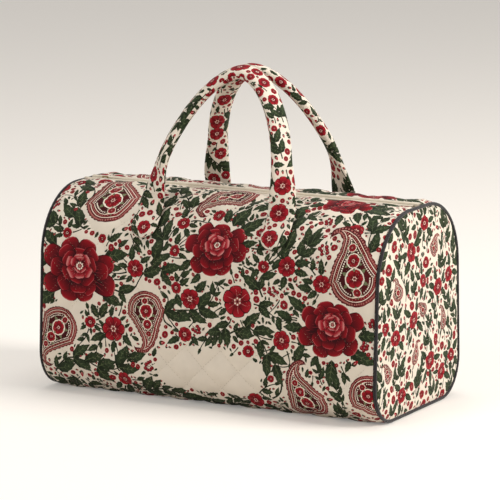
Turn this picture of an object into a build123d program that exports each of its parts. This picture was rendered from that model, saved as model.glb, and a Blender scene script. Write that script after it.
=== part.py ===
from build123d import *
from math import atan2, copysign, cos, degrees, radians, sin, sqrt
import os

# Quilted weekend bag, in millimetres
# Origin under the middle of the base, X along the bag, the front on -Y, +Z up

# Shell
bag_length = 480.0
bag_depth = 240.0
bag_height = 258.0
base_corner_radius = 50.0
zip_land_width = 40.0
shoulder_share = 0.44
shoulder_radius = shoulder_share * (bag_depth - zip_land_width)
crown_radius = 420.0
side_lean_deg = 2.5
panel_thickness = 5.0

# Quilting: diamonds that rise to a flat pillow
quilt_diamond = 52.0
quilt_loft = 2.0
quilt_slope_share = 0.25
seam_margin = 8.0

# Piping round the end panels
piping_diameter = 5.0
cord_sides = 8

# Handles: a flat sewn tail at each end of a padded arch
handle_spacing = 184.0
handle_top = 410.0
handle_tops_apart = 31.0
tail_top_along = 88.0
tail_length = 34.0
tail_width = 37.0
tail_thickness = 5.0
tail_gap = 0.6
grip_width = 27.0
grip_thickness = 14.0
grip_blend = 90.0
grip_twist_deg = 50.0
arch_power = 1.15
lean_power = 1.25
arch_angles_deg = (22.0, 36.0, 50.0, 64.0, 77.0)
tail_point_shares = (1.0, 0.5, 0.0)
tail_round_shares = (0.02, 0.12, 0.35, 0.65, 1.0)
strap_side_power = 0.6
strap_sides = 12
handle_stations = 29

# Zip
zip_mouth = 12.0
binding_wall = 0.8
binding_reach = 6.0
tape_width = 16.0
tape_thickness = 0.8
tape_slot = 3.0
chain_end_gap = 20.0
rail_width = 2.0
rail_height = 2.4
tooth_pitch = 5.0
tooth_length = 2.6
tooth_width = 1.9
slider_length = 14.0
slider_width = 10.0
slider_plate = 1.3
slider_flange = 0.9
neck_length = 3.0
neck_width = 1.8
bridge_length = 8.0
bridge_width = 2.2
bridge_height = 4.2
bridge_bar = 1.2
pull_pin_diameter = 1.4
pull_length = 24.0
pull_width = 7.0
pull_thickness = 1.6
pull_eye_length = 10.0
pull_side_bar = 1.5
pull_corner_radius = 1.0
stop_length = 3.0

# Base board
board_thickness = 2.5
board_corner_radius = 12.0
board_edge_gap = 3.0

# Clearances
fit_gap = 0.1
run_gap = 0.4


# The section: zip land, crown, shoulder, leaning side, base corner

def section_edges(land_start):
    lean = radians(side_lean_deg)
    side_out = Vector(cos(lean), sin(lean))
    side_up = Vector(-sin(lean), cos(lean))
    corner_centre = Vector(bag_depth / 2 - base_corner_radius, base_corner_radius)
    crown_centre = Vector(zip_land_width / 2, bag_height - crown_radius)
    from_crown = corner_centre + side_out * (base_corner_radius - shoulder_radius) - crown_centre
    along = from_crown.dot(side_up)
    reach = crown_radius - shoulder_radius
    rise = sqrt(along**2 - from_crown.length**2 + reach**2) - along
    shoulder_from_crown = from_crown + side_up * rise
    shoulder_centre = crown_centre + shoulder_from_crown
    crown_end_deg = degrees(atan2(shoulder_from_crown.Y, shoulder_from_crown.X))
    land = Line((land_start, bag_height), (zip_land_width / 2, bag_height))
    crown = CenterArc(crown_centre, crown_radius, 90, crown_end_deg - 90)
    shoulder = CenterArc(shoulder_centre, shoulder_radius, crown_end_deg, side_lean_deg - crown_end_deg)
    side = Line(
        shoulder_centre + side_out * shoulder_radius,
        corner_centre + side_out * base_corner_radius,
    )
    corner = CenterArc(corner_centre, base_corner_radius, side_lean_deg, -90 - side_lean_deg)
    return land + crown + shoulder + side + corner


def end_outline(inset):
    half = section_edges(0) + Line((bag_depth / 2 - base_corner_radius, 0), (0, 0))
    outline = make_face(half + mirror(half, about=Plane.YZ))
    return offset(outline, amount=-inset)


panel_half_length = bag_length / 2 - max(panel_thickness, piping_diameter)
base_half_width = bag_depth / 2 - base_corner_radius
panel_edge = zip_mouth / 2 + binding_wall + fit_gap
section = Wire((Plane.YZ * section_edges(panel_edge)).edges())
section_length = section.length


def shell_point(x, along, lift):
    share = along / section_length
    spot = section @ share
    run = section % share
    return Vector(x, spot.Y - run.Z * lift, spot.Z + run.Y * lift)


# Quilted wall that follows the section, as one closed skin of flat facets

quilt_half_length = panel_half_length - seam_margin
quilt_run = section_length - 2 * seam_margin
columns = 2 * round(2 * quilt_half_length / quilt_diamond)
rows = 2 * round(quilt_run / quilt_diamond)
column_step = 2 * quilt_half_length / columns
row_step = quilt_run / rows


def quilt_point(column, row, lift=0):
    return shell_point(column * column_step - quilt_half_length, seam_margin + row * row_step, lift)


def pillow(column, row):
    corners = [(column - 1, row), (column, row - 1), (column + 1, row), (column, row + 1)]
    low = [quilt_point(*corner) for corner in corners]
    high = [
        quilt_point(
            c + (column - c) * quilt_slope_share,
            r + (row - r) * quilt_slope_share,
            quilt_loft,
        )
        for c, r in corners
    ]
    facets = [(high[0], high[1], high[2]), (high[0], high[2], high[3])]
    for here in range(4):
        there = (here + 1) % 4
        facets.append((low[here], low[there], high[there]))
        facets.append((low[here], high[there], high[here]))
    return facets


def quilt_facets():
    facets = []
    for column in range(1, columns):
        for row in range(1, rows):
            if (column + row) % 2:
                facets += pillow(column, row)
    for column in range(1, columns, 2):
        for edge, inside in ((0, 1), (rows, rows - 1)):
            facets.append(
                (quilt_point(column - 1, edge), quilt_point(column + 1, edge), quilt_point(column, inside))
            )
    for row in range(1, rows, 2):
        for edge, inside in ((0, 1), (columns, columns - 1)):
            middle = quilt_point(edge, row)
            tip = quilt_point(inside, row)
            facets.append((quilt_point(edge, row - 1), tip, middle))
            facets.append((middle, tip, quilt_point(edge, row + 1)))
    return facets


def margin_facets():
    facets = []
    for seam, row in ((0, 0), (section_length, rows)):
        along = seam_margin + row * row_step
        inner = [quilt_point(column, row) for column in range(0, columns + 1, 2)]
        ends = [shell_point(x, seam, 0) for x in (panel_half_length, -panel_half_length)]
        left = shell_point(-panel_half_length, along, 0)
        right = shell_point(panel_half_length, along, 0)
        facets.append((left, *inner, right, *ends))
    for x, column in ((-panel_half_length, 0), (panel_half_length, columns)):
        for row in range(rows):
            along = seam_margin + row * row_step
            facets.append(
                (
                    quilt_point(column, row),
                    quilt_point(column, row + 1),
                    shell_point(x, along + row_step, 0),
                    shell_point(x, along, 0),
                )
            )
    return facets


def lining_facets():
    stops = [0] + [seam_margin + row * row_step for row in range(rows + 1)] + [section_length]
    facets = []
    for upper, lower in zip(stops, stops[1:]):
        facets.append(
            [shell_point(x, upper, -panel_thickness) for x in (-panel_half_length, panel_half_length)]
            + [shell_point(x, lower, -panel_thickness) for x in (panel_half_length, -panel_half_length)]
        )
    for seam in (0, section_length):
        facets.append(
            [shell_point(x, seam, 0) for x in (-panel_half_length, panel_half_length)]
            + [shell_point(x, seam, -panel_thickness) for x in (panel_half_length, -panel_half_length)]
        )
    for x in (-panel_half_length, panel_half_length):
        facets.append(
            [shell_point(x, stop, 0) for stop in stops]
            + [shell_point(x, stop, -panel_thickness) for stop in reversed(stops)]
        )
    return facets


def closed_skin(facets):
    return Solid(Shell([Face(Wire.make_polygon(facet)) for facet in facets]))


back_panel = closed_skin(quilt_facets() + margin_facets() + lining_facets())
front_panel = mirror(back_panel, about=Plane.XZ)


# Flat quilted panels, with stitch grooves in the outer face at local z = 0

groove_half_width = quilt_slope_share * quilt_diamond / sqrt(8)


def quilt_grooves(reach):
    profile = Polyline(
        (-groove_half_width, 0), (0, -quilt_loft), (groove_half_width, 0), (0, quilt_loft), close=True
    )
    groove = extrude(Plane.YZ * make_face(profile), reach, both=True)
    count = 2 * round(reach / quilt_diamond) + 1
    grooves = GridLocations(quilt_diamond, 0, count, 1) * groove.rotate(Axis.Z, 45)
    return grooves + GridLocations(quilt_diamond, 0, count, 1) * groove.rotate(Axis.Z, -45)


def end_panel():
    plate = extrude(end_outline(piping_diameter), -panel_thickness)
    grooves = [Pos(0, bag_height / 2) * groove for groove in quilt_grooves(bag_height)]
    return Plane.YZ.offset(bag_length / 2) * (plate - grooves)


right_end_panel = end_panel()
left_end_panel = mirror(right_end_panel, about=Plane.YZ)

under_plane = Plane(origin=(0, 0, 0), x_dir=(1, 0, 0), z_dir=(0, 0, -1))
base_plate = extrude(Rectangle(2 * panel_half_length, 2 * base_half_width), -panel_thickness)
base_panel = under_plane * (base_plate - quilt_grooves(bag_length))


# Piping: a cord swept round the end outline, its section an octagon

def cord_section(radius):
    return RegularPolygon(radius, cord_sides, major_radius=False, rotation=180 / cord_sides)


def end_piping():
    radius = piping_diameter / 2
    path = Plane.YZ.offset(bag_length / 2 - radius) * end_outline(radius).face().outer_wire()
    start = Plane(origin=path @ 0, x_dir=(1, 0, 0), z_dir=path % 0)
    return sweep(start * cord_section(radius), path=path)


right_piping = end_piping()
left_piping = mirror(right_piping, about=Plane.YZ)


# Handles: one strap, a skin through sections along its run

def handle_path():
    lift = quilt_loft + tail_gap + tail_thickness / 2
    half = handle_spacing / 2
    tail = [
        shell_point(half, tail_top_along + tail_length * share, lift)
        for share in tail_point_shares
    ]
    leave = tail[-1]
    top = Vector(0, handle_tops_apart / 2, handle_top)
    arch = []
    for angle in arch_angles_deg:
        climb = sin(radians(angle))
        reach = half * cos(radians(angle)) ** arch_power
        lean = climb**lean_power
        arch.append(Vector(reach, leave.Y + (top.Y - leave.Y) * lean, leave.Z + (top.Z - leave.Z) * climb))
    right = tail + arch
    left = [Vector(-spot.X, spot.Y, spot.Z) for spot in reversed(right)]
    lean_out = Vector(0, top.Z - leave.Z, leave.Y - top.Y).normalized()
    return Spline(*right, top, *left), lean_out


def strap_form(along):
    blend = min(max((along - tail_length) / grip_blend, 0), 1)
    ease = blend * blend * (3 - 2 * blend)
    width = tail_width + (grip_width - tail_width) * ease
    thickness = tail_thickness + (grip_thickness - tail_thickness) * ease
    nose = max(tail_width / 2 - along, 0)
    width *= sqrt(1 - (2 * nose / tail_width) ** 2)
    return width, thickness, radians(grip_twist_deg * ease)


def strap_ring(path, lean_out, stop):
    spot = path @ (stop / path.length)
    run = path % (stop / path.length)
    width, thickness, twist = strap_form(min(stop, path.length - stop))
    flat_out = (lean_out - run * lean_out.dot(run)).normalized()
    out = flat_out * cos(twist) + flat_out.cross(run) * sin(twist)
    across = run.cross(out)
    ring = []
    for side in range(strap_sides):
        angle = radians(180 * (2 * side + 1) / strap_sides)
        near = copysign(abs(cos(angle)) ** strap_side_power, cos(angle)) * width / 2
        far = copysign(abs(sin(angle)) ** strap_side_power, sin(angle)) * thickness / 2
        ring.append(spot + across * near + out * far)
    return ring


def handle():
    path, lean_out = handle_path()
    nose = tail_width / 2
    gap = (path.length - 2 * nose) / (handle_stations - 1)
    stops = [nose * share for share in tail_round_shares]
    middle = [nose + gap * station for station in range(1, handle_stations - 1)]
    stops = stops + middle + [path.length - stop for stop in reversed(stops)]
    rings = [strap_ring(path, lean_out, stop) for stop in stops]
    facets = []
    for lower, upper in zip(rings, rings[1:]):
        for side in range(strap_sides):
            after = (side + 1) % strap_sides
            facets.append((lower[side], lower[after], upper[after]))
            facets.append((lower[side], upper[after], upper[side]))
    return closed_skin(facets + [rings[0], rings[-1]])


back_handle = handle()
front_handle = mirror(back_handle, about=Plane.XZ)


# Zip binding, tape and teeth, the back half of each

panel_under = bag_height - panel_thickness
tape_top = panel_under - fit_gap - binding_wall
tape_bottom = tape_top - tape_thickness
rail_top = tape_top + rail_height
chain_start = -panel_half_length + chain_end_gap
chain_end = panel_half_length - chain_end_gap


def run_along(profile, start, end):
    return extrude(Plane.YZ.offset(start) * make_face(profile), end - start)


def block(x_from, x_to, y_from, y_to, z_from, z_to):
    size = (x_to - x_from, y_to - y_from, z_to - z_from)
    return Pos(x_from, y_from, z_from) * Box(*size, align=(Align.MIN, Align.MIN, Align.MIN))


def zip_binding():
    mouth = zip_mouth / 2
    far = panel_edge + binding_reach
    outer_top = bag_height + fit_gap + binding_wall
    inner_top = bag_height + fit_gap
    inner_bottom = panel_under - fit_gap
    profile = Polyline(
        (far, outer_top),
        (mouth, outer_top),
        (mouth, tape_top),
        (far, tape_top),
        (far, inner_bottom),
        (mouth + binding_wall, inner_bottom),
        (mouth + binding_wall, inner_top),
        (far, inner_top),
        close=True,
    )
    return run_along(profile, -panel_half_length, panel_half_length)


def zip_tape():
    near = tape_slot / 2
    return block(-panel_half_length, panel_half_length, near, near + tape_width, tape_bottom, tape_top)


def zip_teeth(phase):
    rail_in = tape_slot / 2
    rail = block(chain_start, chain_end, rail_in, rail_in + rail_width, tape_top, rail_top)
    tooth = block(0, tooth_width, rail_in - tooth_length, rail_in, tape_top, rail_top)
    count = int((chain_end - chain_start - phase - tooth_width) / tooth_pitch) + 1
    return rail + [Pos(chain_start + phase + tooth_pitch * number) * tooth for number in range(count)]


back_zip_binding = zip_binding()
front_zip_binding = mirror(back_zip_binding, about=Plane.XZ)
back_zip_tape = zip_tape()
front_zip_tape = mirror(back_zip_tape, about=Plane.XZ)
back_zip_teeth = zip_teeth(0)
front_zip_teeth = mirror(zip_teeth(tooth_pitch / 2), about=Plane.XZ)


# Zip stops, slider and pull at the closed end

neck_end = chain_start - run_gap
slider_start = neck_end - neck_length
slider_end = slider_start + slider_length
slider_low = tape_bottom - run_gap
slider_high = rail_top + run_gap
slider_top = slider_high + slider_plate


def closed_stop():
    stop_end = slider_start - run_gap
    near = tape_slot / 2
    return block(stop_end - stop_length, stop_end, near, near + rail_width, tape_top, slider_top)


def open_stop():
    half = tape_slot / 2 + rail_width
    start = chain_end + fit_gap
    return block(start, start + stop_length, -half, half, tape_top, slider_top)


def zip_slider():
    half = slider_width / 2
    plates = block(slider_start, slider_end, -half, half, slider_high, slider_top)
    plates += block(slider_start, slider_end, -half, half, slider_low - slider_plate, slider_low)
    neck = block(slider_start, neck_end, -neck_width / 2, neck_width / 2, slider_low, slider_high)
    flange_low = tape_top + run_gap
    flange = block(slider_start, slider_end, half - slider_flange, half, flange_low, slider_high)
    body = plates + neck + flange + mirror(flange, about=Plane.XZ)
    corners = body.edges().filter_by(Axis.Z).group_by(Axis.X)[-1]
    body = fillet(corners.group_by(Axis.Y)[0] + corners.group_by(Axis.Y)[-1], slider_plate)
    bridge = block(
        bridge_start, bridge_start + bridge_length, -bridge_width / 2, bridge_width / 2,
        slider_top, slider_top + bridge_height,
    )
    hole = block(
        bridge_start + bridge_bar, bridge_start + bridge_length - bridge_bar, -bridge_width, bridge_width,
        slider_top, slider_top + bridge_height - bridge_bar,
    )
    return body + (bridge - hole)


bridge_start = slider_start + (slider_length - bridge_length) / 2
pin_x = bridge_start + bridge_length - bridge_bar - run_gap - pull_pin_diameter / 2
pin_z = slider_top + run_gap + pull_pin_diameter / 2


def zip_pull():
    arm_end = pin_x - pull_thickness / 2
    frame = Pos(arm_end, 0) * RectangleRounded(
        pull_length, pull_width, pull_corner_radius, align=(Align.MIN, Align.CENTER)
    )
    eye_width = pull_width - 2 * pull_side_bar
    eye = Pos(arm_end, 0) * Rectangle(pull_eye_length, eye_width, align=(Align.MIN, Align.CENTER))
    plate = Pos(0, 0, pin_z) * extrude(frame - eye, pull_thickness / 2, both=True)
    pin = Pos(pin_x, 0, pin_z) * Rot(90, 0, 0) * Cylinder(pull_pin_diameter / 2, pull_width - pull_side_bar)
    return plate + pin


back_closed_stop = closed_stop()
front_closed_stop = mirror(back_closed_stop, about=Plane.XZ)


# Base board, lying on the base panel

board_length = 2 * (panel_half_length - panel_thickness - board_edge_gap)
board_width = 2 * (base_half_width - board_edge_gap)
base_board = Pos(0, 0, panel_thickness + fit_gap) * extrude(
    RectangleRounded(board_length, board_width, board_corner_radius), board_thickness
)

pieces = {
    "front_panel": front_panel,
    "back_panel": back_panel,
    "base_panel": base_panel,
    "left_end_panel": left_end_panel,
    "right_end_panel": right_end_panel,
    "left_piping": left_piping,
    "right_piping": right_piping,
    "front_handle": front_handle,
    "back_handle": back_handle,
    "front_zip_binding": front_zip_binding,
    "back_zip_binding": back_zip_binding,
    "front_zip_tape": front_zip_tape,
    "back_zip_tape": back_zip_tape,
    "front_zip_teeth": front_zip_teeth,
    "back_zip_teeth": back_zip_teeth,
    "front_closed_stop": front_closed_stop,
    "back_closed_stop": back_closed_stop,
    "open_stop": open_stop(),
    "zip_slider": zip_slider(),
    "zip_pull": zip_pull(),
    "base_board": base_board,
}

os.makedirs("parts", exist_ok=True)
for name, piece in pieces.items():
    export_step(piece, f"parts/{name}.step")
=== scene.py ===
import bpy
import math
import random
import numpy as np
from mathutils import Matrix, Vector
from mathutils.geometry import delaunay_2d_cdt


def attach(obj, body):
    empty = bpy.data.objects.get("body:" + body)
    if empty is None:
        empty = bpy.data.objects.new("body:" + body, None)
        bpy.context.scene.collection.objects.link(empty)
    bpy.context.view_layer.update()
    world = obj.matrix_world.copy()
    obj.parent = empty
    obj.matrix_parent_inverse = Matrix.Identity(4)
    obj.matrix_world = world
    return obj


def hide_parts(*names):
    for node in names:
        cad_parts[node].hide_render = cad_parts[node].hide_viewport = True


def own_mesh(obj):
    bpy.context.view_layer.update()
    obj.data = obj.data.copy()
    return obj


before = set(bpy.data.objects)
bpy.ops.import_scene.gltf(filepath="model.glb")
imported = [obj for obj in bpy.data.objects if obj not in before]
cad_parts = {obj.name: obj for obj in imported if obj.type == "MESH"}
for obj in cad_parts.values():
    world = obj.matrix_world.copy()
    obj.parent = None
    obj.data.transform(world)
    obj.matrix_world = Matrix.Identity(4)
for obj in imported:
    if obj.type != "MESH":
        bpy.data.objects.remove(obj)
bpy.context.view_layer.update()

# Sizes of the bag in millimetres, as in the solids
MM = 0.001
BAG_LENGTH = 480.0
BAG_DEPTH = 240.0
BAG_HEIGHT = 258.0
CORNER_RADIUS = 50.0
SHOULDER_RADIUS = 88.0
CROWN_RADIUS = 420.0
SIDE_LEAN = math.radians(2.5)
ZIP_LAND = 20.0
PANEL_EDGE = 6.9
PIPING = 5.0
PANEL_HALF = BAG_LENGTH / 2 - PIPING
BASE_HALF = BAG_DEPTH / 2 - CORNER_RADIUS

# Quilting
DIAMOND = 52.0
SEAM_MARGIN = 8.0
PUFF = 2.6
PUFF_POWER = 0.55
STITCH_DIP = 0.5
PUCKER = 0.25
PUFF_FADE = 14.0
SAG_FADE = 40.0

# Handles
HANDLE_SPACING = 184.0
HANDLE_TOP = 410.0
HANDLE_TOPS_APART = 31.0
TAIL_TOP_ALONG = 88.0
TAIL_LENGTH = 34.0
TAIL_WIDTH = 37.0
TAIL_THICKNESS = 5.0
TAIL_LIFT = 2.6
GRIP_WIDTH = 27.0
GRIP_THICKNESS = 14.0
GRIP_BLEND = 90.0
GRIP_TWIST = math.radians(50.0)
ARCH_POWER = 1.15
LEAN_POWER = 1.25
ARCH_ANGLES = (22.0, 36.0, 50.0, 64.0, 77.0)

# Angles drawn by chance
TURN = 2 * math.pi
ANY_TURN = (0, 6)
ANY_WAY = (0, 6.28)


# Inks of the print, as sRGB, from the base of a shape to its tip

def linear(code):
    share = np.array([int(code[i:i + 2], 16) for i in (0, 2, 4)]) / 255
    return np.where(share <= 0.04045, share / 12.92, ((share + 0.055) / 1.055) ** 2.4)


INKS = {
    "cloth": ("dbd0c0", "dbd0c0"),
    "petal": ("150103", "150103", "1d0205", "34030a", "640610", "900a18"),
    "petal_rim": ("6a101a", "8a1c27", "a84a4c"),
    "petal_vein": ("3a0308", "b03038"),
    "cup": ("220205", "2a0206", "48050d", "760a16", "a01f2b", "d08f89"),
    "cup_rim": ("4c050c", "7a0c18"),
    "bloom": ("2c0206", "45040b", "6c0913", "860a18", "95101e", "a3262f"),
    "bloom_rim": ("2c0206", "3c0409"),
    "blush": ("8c1f2b", "cf8b84"),
    "pale": ("ddcab8", "e8dac9"),
    "leaf": ("161d10", "232d1a", "2d3923", "222c19"),
    "vein": ("3f4a2e", "5f6a48"),
    "stem": ("1f2415", "2b2f1d"),
    "berry": ("a82a34", "86101d", "4d050d"),
    "brick": ("521317", "6b2124"),
    "dusty": ("8f4a44", "a3625a"),
    "crimson": ("60060f", "760d19"),
    "wine": ("3d080c", "4f0d12"),
    "sage": ("5f6647", "767c5a"),
}
INK_STOPS = {name: np.array([linear(code) for code in codes]) for name, codes in INKS.items()}


# Plane geometry that the print is drawn with

def ahead(at, angle, reach):
    return at[0] + math.cos(angle) * reach, at[1] + math.sin(angle) * reach


def spin(angle):
    return np.array([[math.cos(angle), math.sin(angle)], [-math.sin(angle), math.cos(angle)]])


def rows_at(where, knots, rows):
    return np.stack([np.interp(where, knots, column) for column in rows.T], -1)


def run_lengths(points):
    return np.concatenate([[0], np.cumsum(np.linalg.norm(np.diff(points, axis=0), axis=1))])


def unit(vectors):
    return vectors / (np.linalg.norm(vectors, axis=-1)[..., None] + 1e-9)


def sides_of(points):
    run = unit(np.gradient(points, axis=0))
    return np.stack([-run[:, 1], run[:, 0]], 1)


def smooth(share):
    share = np.clip(share, 0, 1)
    return share * share * (3 - 2 * share)


def ring(count):
    turn = np.arange(count) * TURN / count
    return np.stack([np.cos(turn), np.sin(turn)], 1)


def edge_points(outline, step):
    after = np.roll(outline, -1, axis=0)
    counts = np.maximum(np.ceil(np.linalg.norm(after - outline, axis=1) / step).astype(int), 1)
    edges = zip(outline, after, counts)
    return np.concatenate([a + (b - a) * np.arange(n)[:, None] / n for a, b, n in edges])


def stroke_points(points, start, end):
    points = np.asarray(points, float)
    half = sides_of(points) * np.linspace(start, end, len(points))[:, None] / 2
    return np.concatenate([points + half, (points - half)[::-1]])


# A print: shapes in flat cloth coordinates, painted in layers, and the room left between them

STEMS, LEAVES, BLOOMS = range(3)
FREE = 24.0
CELL_MIDDLE_SHARE = 0.5


class Print:
    def __init__(self, seed, bounds):
        self.rng = random.Random(seed)
        self.layers = {layer: [] for layer in (STEMS, LEAVES, BLOOMS)}
        self.bounds = bounds
        low_x, high_x, low_y, high_y = bounds
        self.corner = (low_x - FREE, low_y - FREE)
        self.free = np.full((int(high_x - low_x + 2 * FREE), int(high_y - low_y + 2 * FREE)), FREE)

    def claim(self, at, radius):
        x, y = at[0] - self.corner[0], at[1] - self.corner[1]
        reach = radius + FREE
        i, j = max(int(x - reach), 0), max(int(y - reach), 0)
        window = self.free[i:max(int(x + reach), 0), j:max(int(y + reach), 0)]
        across, up = np.ogrid[i:i + window.shape[0], j:j + window.shape[1]]
        np.minimum(window, np.hypot(across - x, up - y) - radius, out=window)

    def room(self, at):
        i, j = (int(at[k] - self.corner[k] + CELL_MIDDLE_SHARE) for k in (0, 1))
        inside = 0 <= i < self.free.shape[0] and 0 <= j < self.free.shape[1]
        return float(self.free[i, j]) if inside else FREE

    def paint(self, points, ink, layer, at=(0.0, 0.0), angle=0.0, length=1.0, width=1.0, radial=False):
        points = np.asarray(points, float) * (length, width)
        self.layers[layer].append((points @ spin(angle) + np.array(at), ink, at, angle, length, radial))

    def shapes(self):
        return [shape for layer in self.layers.values() for shape in layer]


def paint_stroke(cloth, points, start, end):
    cloth.paint(stroke_points(points, start, end), "stem", STEMS)


def paint_disc(cloth, at, radius, ink, count=10):
    cloth.paint(ring(count), ink, BLOOMS, at, 0.0, radius, radius, radial=True)


# Leaves, as shares of their length and width

LEAF_SWELL = 0.72
LEAF_FULLNESS = 0.85
LEAF_FOOT_SHARE = 0.03
FIRST_TOOTH_SHARE = 0.8
LAST_TOOTH_SHARE = 0.7
TOOTH_SHARES = ((-0.11, 0.95), (-0.03, 1.08), (0.0, 1.10), (0.02, 0.90))
LEAF_BEND_SHARE = 0.25
LEAF_WIDTH_SHARES = (0.44, 0.52)
LEAF_FIT_SHARES = ((0.42, 0.17), (0.72, 0.15), (1.0, 0.03))
LEAF_CLAIM_SHARES = ((0.25, 0.13), (0.5, 0.19), (0.78, 0.13), (0.97, 0.03))
LEAF_SLACK_SHARE = 0.9
TOOTHED_LEAF = 12.0
RIBBED_LEAF = 11.0
MIDRIB_SHARES = (0.0, 0.3, 0.6, 0.93)
MIDRIB_WIDTH_SHARES = (0.075, 0.012)
RIB_SHARES = (0.2, 0.4, 0.6)
RIB_RUN_SHARE = 0.15
RIB_RISE_SHARE = 0.33
RIB_ARCH_SHARE = 0.12
RIB_WIDTH_SHARES = (0.035, 0.010)


def leaf_points(teeth, bend=0.0):
    def half(share):
        return np.sin(math.pi * min(max(share, 0.0), 1.0) ** LEAF_SWELL) ** LEAF_FULLNESS / 2

    side = [(0.0, LEAF_FOOT_SHARE)]
    for tooth in range(teeth):
        tip = (tooth + FIRST_TOOTH_SHARE) / (teeth + LAST_TOOTH_SHARE)
        side += [(tip + shift, lift * half(tip + shift)) for shift, lift in TOOTH_SHARES]
    outline = np.array(side + [(1.0, 0.0)] + [(x, -y) for x, y in reversed(side)])
    outline[:, 1] += bend * outline[:, 0] ** 2
    return outline


def leaf_fits(cloth, at, length, angle, slack=LEAF_SLACK_SHARE):
    places = [(ahead(at, angle, length * share), part * length * slack) for share, part in LEAF_FIT_SHARES]
    return all(cloth.room(spot) >= least for spot, least in places)


def paint_leaf(cloth, at, length, angle, bend=None):
    bend = cloth.rng.uniform(-LEAF_BEND_SHARE, LEAF_BEND_SHARE) if bend is None else bend
    lie = (at, angle, length, length * cloth.rng.uniform(*LEAF_WIDTH_SHARES))
    cloth.paint(leaf_points(3 if length > TOOTHED_LEAF else 2, bend), "leaf", LEAVES, *lie)
    midrib = [(share, bend * share ** 2) for share in MIDRIB_SHARES]
    cloth.paint(stroke_points(midrib, *MIDRIB_WIDTH_SHARES), "vein", LEAVES, *lie)
    for share in RIB_SHARES if length > RIBBED_LEAF else ():
        for way in (-1, 1):
            end = share + RIB_RUN_SHARE
            rise = way * RIB_RISE_SHARE * math.sin(math.pi * (share + RIB_ARCH_SHARE))
            line = [(share, bend * share ** 2), (end, bend * end ** 2 + rise)]
            cloth.paint(stroke_points(line, *RIB_WIDTH_SHARES), "vein", LEAVES, *lie)
    for share, part in LEAF_CLAIM_SHARES:
        cloth.claim(ahead(at, angle, length * share), length * part)


def paint_first_fit(cloth, at, lengths, angle, bend=None):
    for length in lengths:
        if leaf_fits(cloth, at, length, angle):
            paint_leaf(cloth, at, length, angle, bend)
            break


RING_ROOT_SHARE = 0.9
RING_LENGTH_SHARES = (0.85, 1.15)
RING_TRY_SHARES = (1.0, 0.75, 0.55)
RING_STRAY = 0.25
RING_LEAN = 0.35


def ring_of_leaves(cloth, at, radius, leaf, count):
    rng = cloth.rng
    start = rng.uniform(*ANY_TURN)
    for number in range(count):
        angle = start + TURN * number / count + rng.uniform(-RING_STRAY, RING_STRAY)
        length = leaf * rng.uniform(*RING_LENGTH_SHARES)
        root = ahead(at, angle, radius * RING_ROOT_SHARE)
        lean = angle + rng.uniform(-RING_LEAN, RING_LEAN)
        paint_first_fit(cloth, root, [length * share for share in RING_TRY_SHARES], lean)


# Flowers, as shares of their radius

PETAL_MIDDLE_SHARE = 0.52
PETAL_REACH_SHARE = 0.48
PETAL_HALF_SHARE = 0.46
RUFFLE_START_SHARE = 0.35
PETALS_ROUND_SHARE = 4.7
PETAL_INSET_SHARES = (0.96, 0.86)
NOTCH_SHARE = 0.10
FLOWER_LINE_SHARES = ((0.30, 0.0), (0.74, 0.0))
FLOWER_LINE_WIDTH_SHARES = (0.05, 0.02)
LINED_FLOWER = 9.0
SEEDED_FLOWER = 6.0
EYE_SHARE = 0.29
HEART_SHARE = 0.23
SEED_RING_SHARE = 0.19
SEED_SHARE = 0.055
PIP_SHARE = 0.09


def petal_points(count, lobes, ruffle, waist=0.5, blunt=0.85):
    turn = np.arange(count) * TURN / count - math.pi
    swell = 1 - ruffle * np.cos(lobes * turn) * np.clip(np.cos(turn) + RUFFLE_START_SHARE, 0, 1)
    reach = np.sign(np.cos(turn)) * np.abs(np.cos(turn)) ** blunt * swell
    half = np.sin(turn) * (1 + waist * np.cos(turn)) * swell
    return np.stack([PETAL_MIDDLE_SHARE + PETAL_REACH_SHARE * reach, PETAL_HALF_SHARE * half], 1)


def paint_flower(cloth, at, radius, turn, petals=6, ink="bloom", rim="bloom_rim", heart="pale"):
    width = radius * PETALS_ROUND_SHARE / petals
    shape = petal_points(16, 2, NOTCH_SHARE)
    line = stroke_points(FLOWER_LINE_SHARES, *FLOWER_LINE_WIDTH_SHARES)
    inner = (radius * PETAL_INSET_SHARES[0], width * PETAL_INSET_SHARES[1])
    for petal in range(petals):
        angle = turn + TURN * petal / petals
        cloth.paint(shape, rim, BLOOMS, at, angle, radius, width)
        cloth.paint(shape, ink, BLOOMS, at, angle, *inner)
        if radius > LINED_FLOWER:
            cloth.paint(line, "blush", BLOOMS, at, angle, radius, width)
    paint_disc(cloth, at, radius * EYE_SHARE, "crimson")
    paint_disc(cloth, at, radius * HEART_SHARE, "dusty" if heart == "pale" else heart)
    for seed in range(6 if radius > SEEDED_FLOWER else 0):
        tip = ahead(at, turn + seed * TURN / 6, radius * SEED_RING_SHARE)
        paint_disc(cloth, tip, radius * SEED_SHARE, heart, 6)
    paint_disc(cloth, at, radius * PIP_SHARE, "wine", 7)
    cloth.claim(at, radius)


# Peonies: rows of petals, each with its count, reach, width, rise, ink, lobes and ruffle

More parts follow.
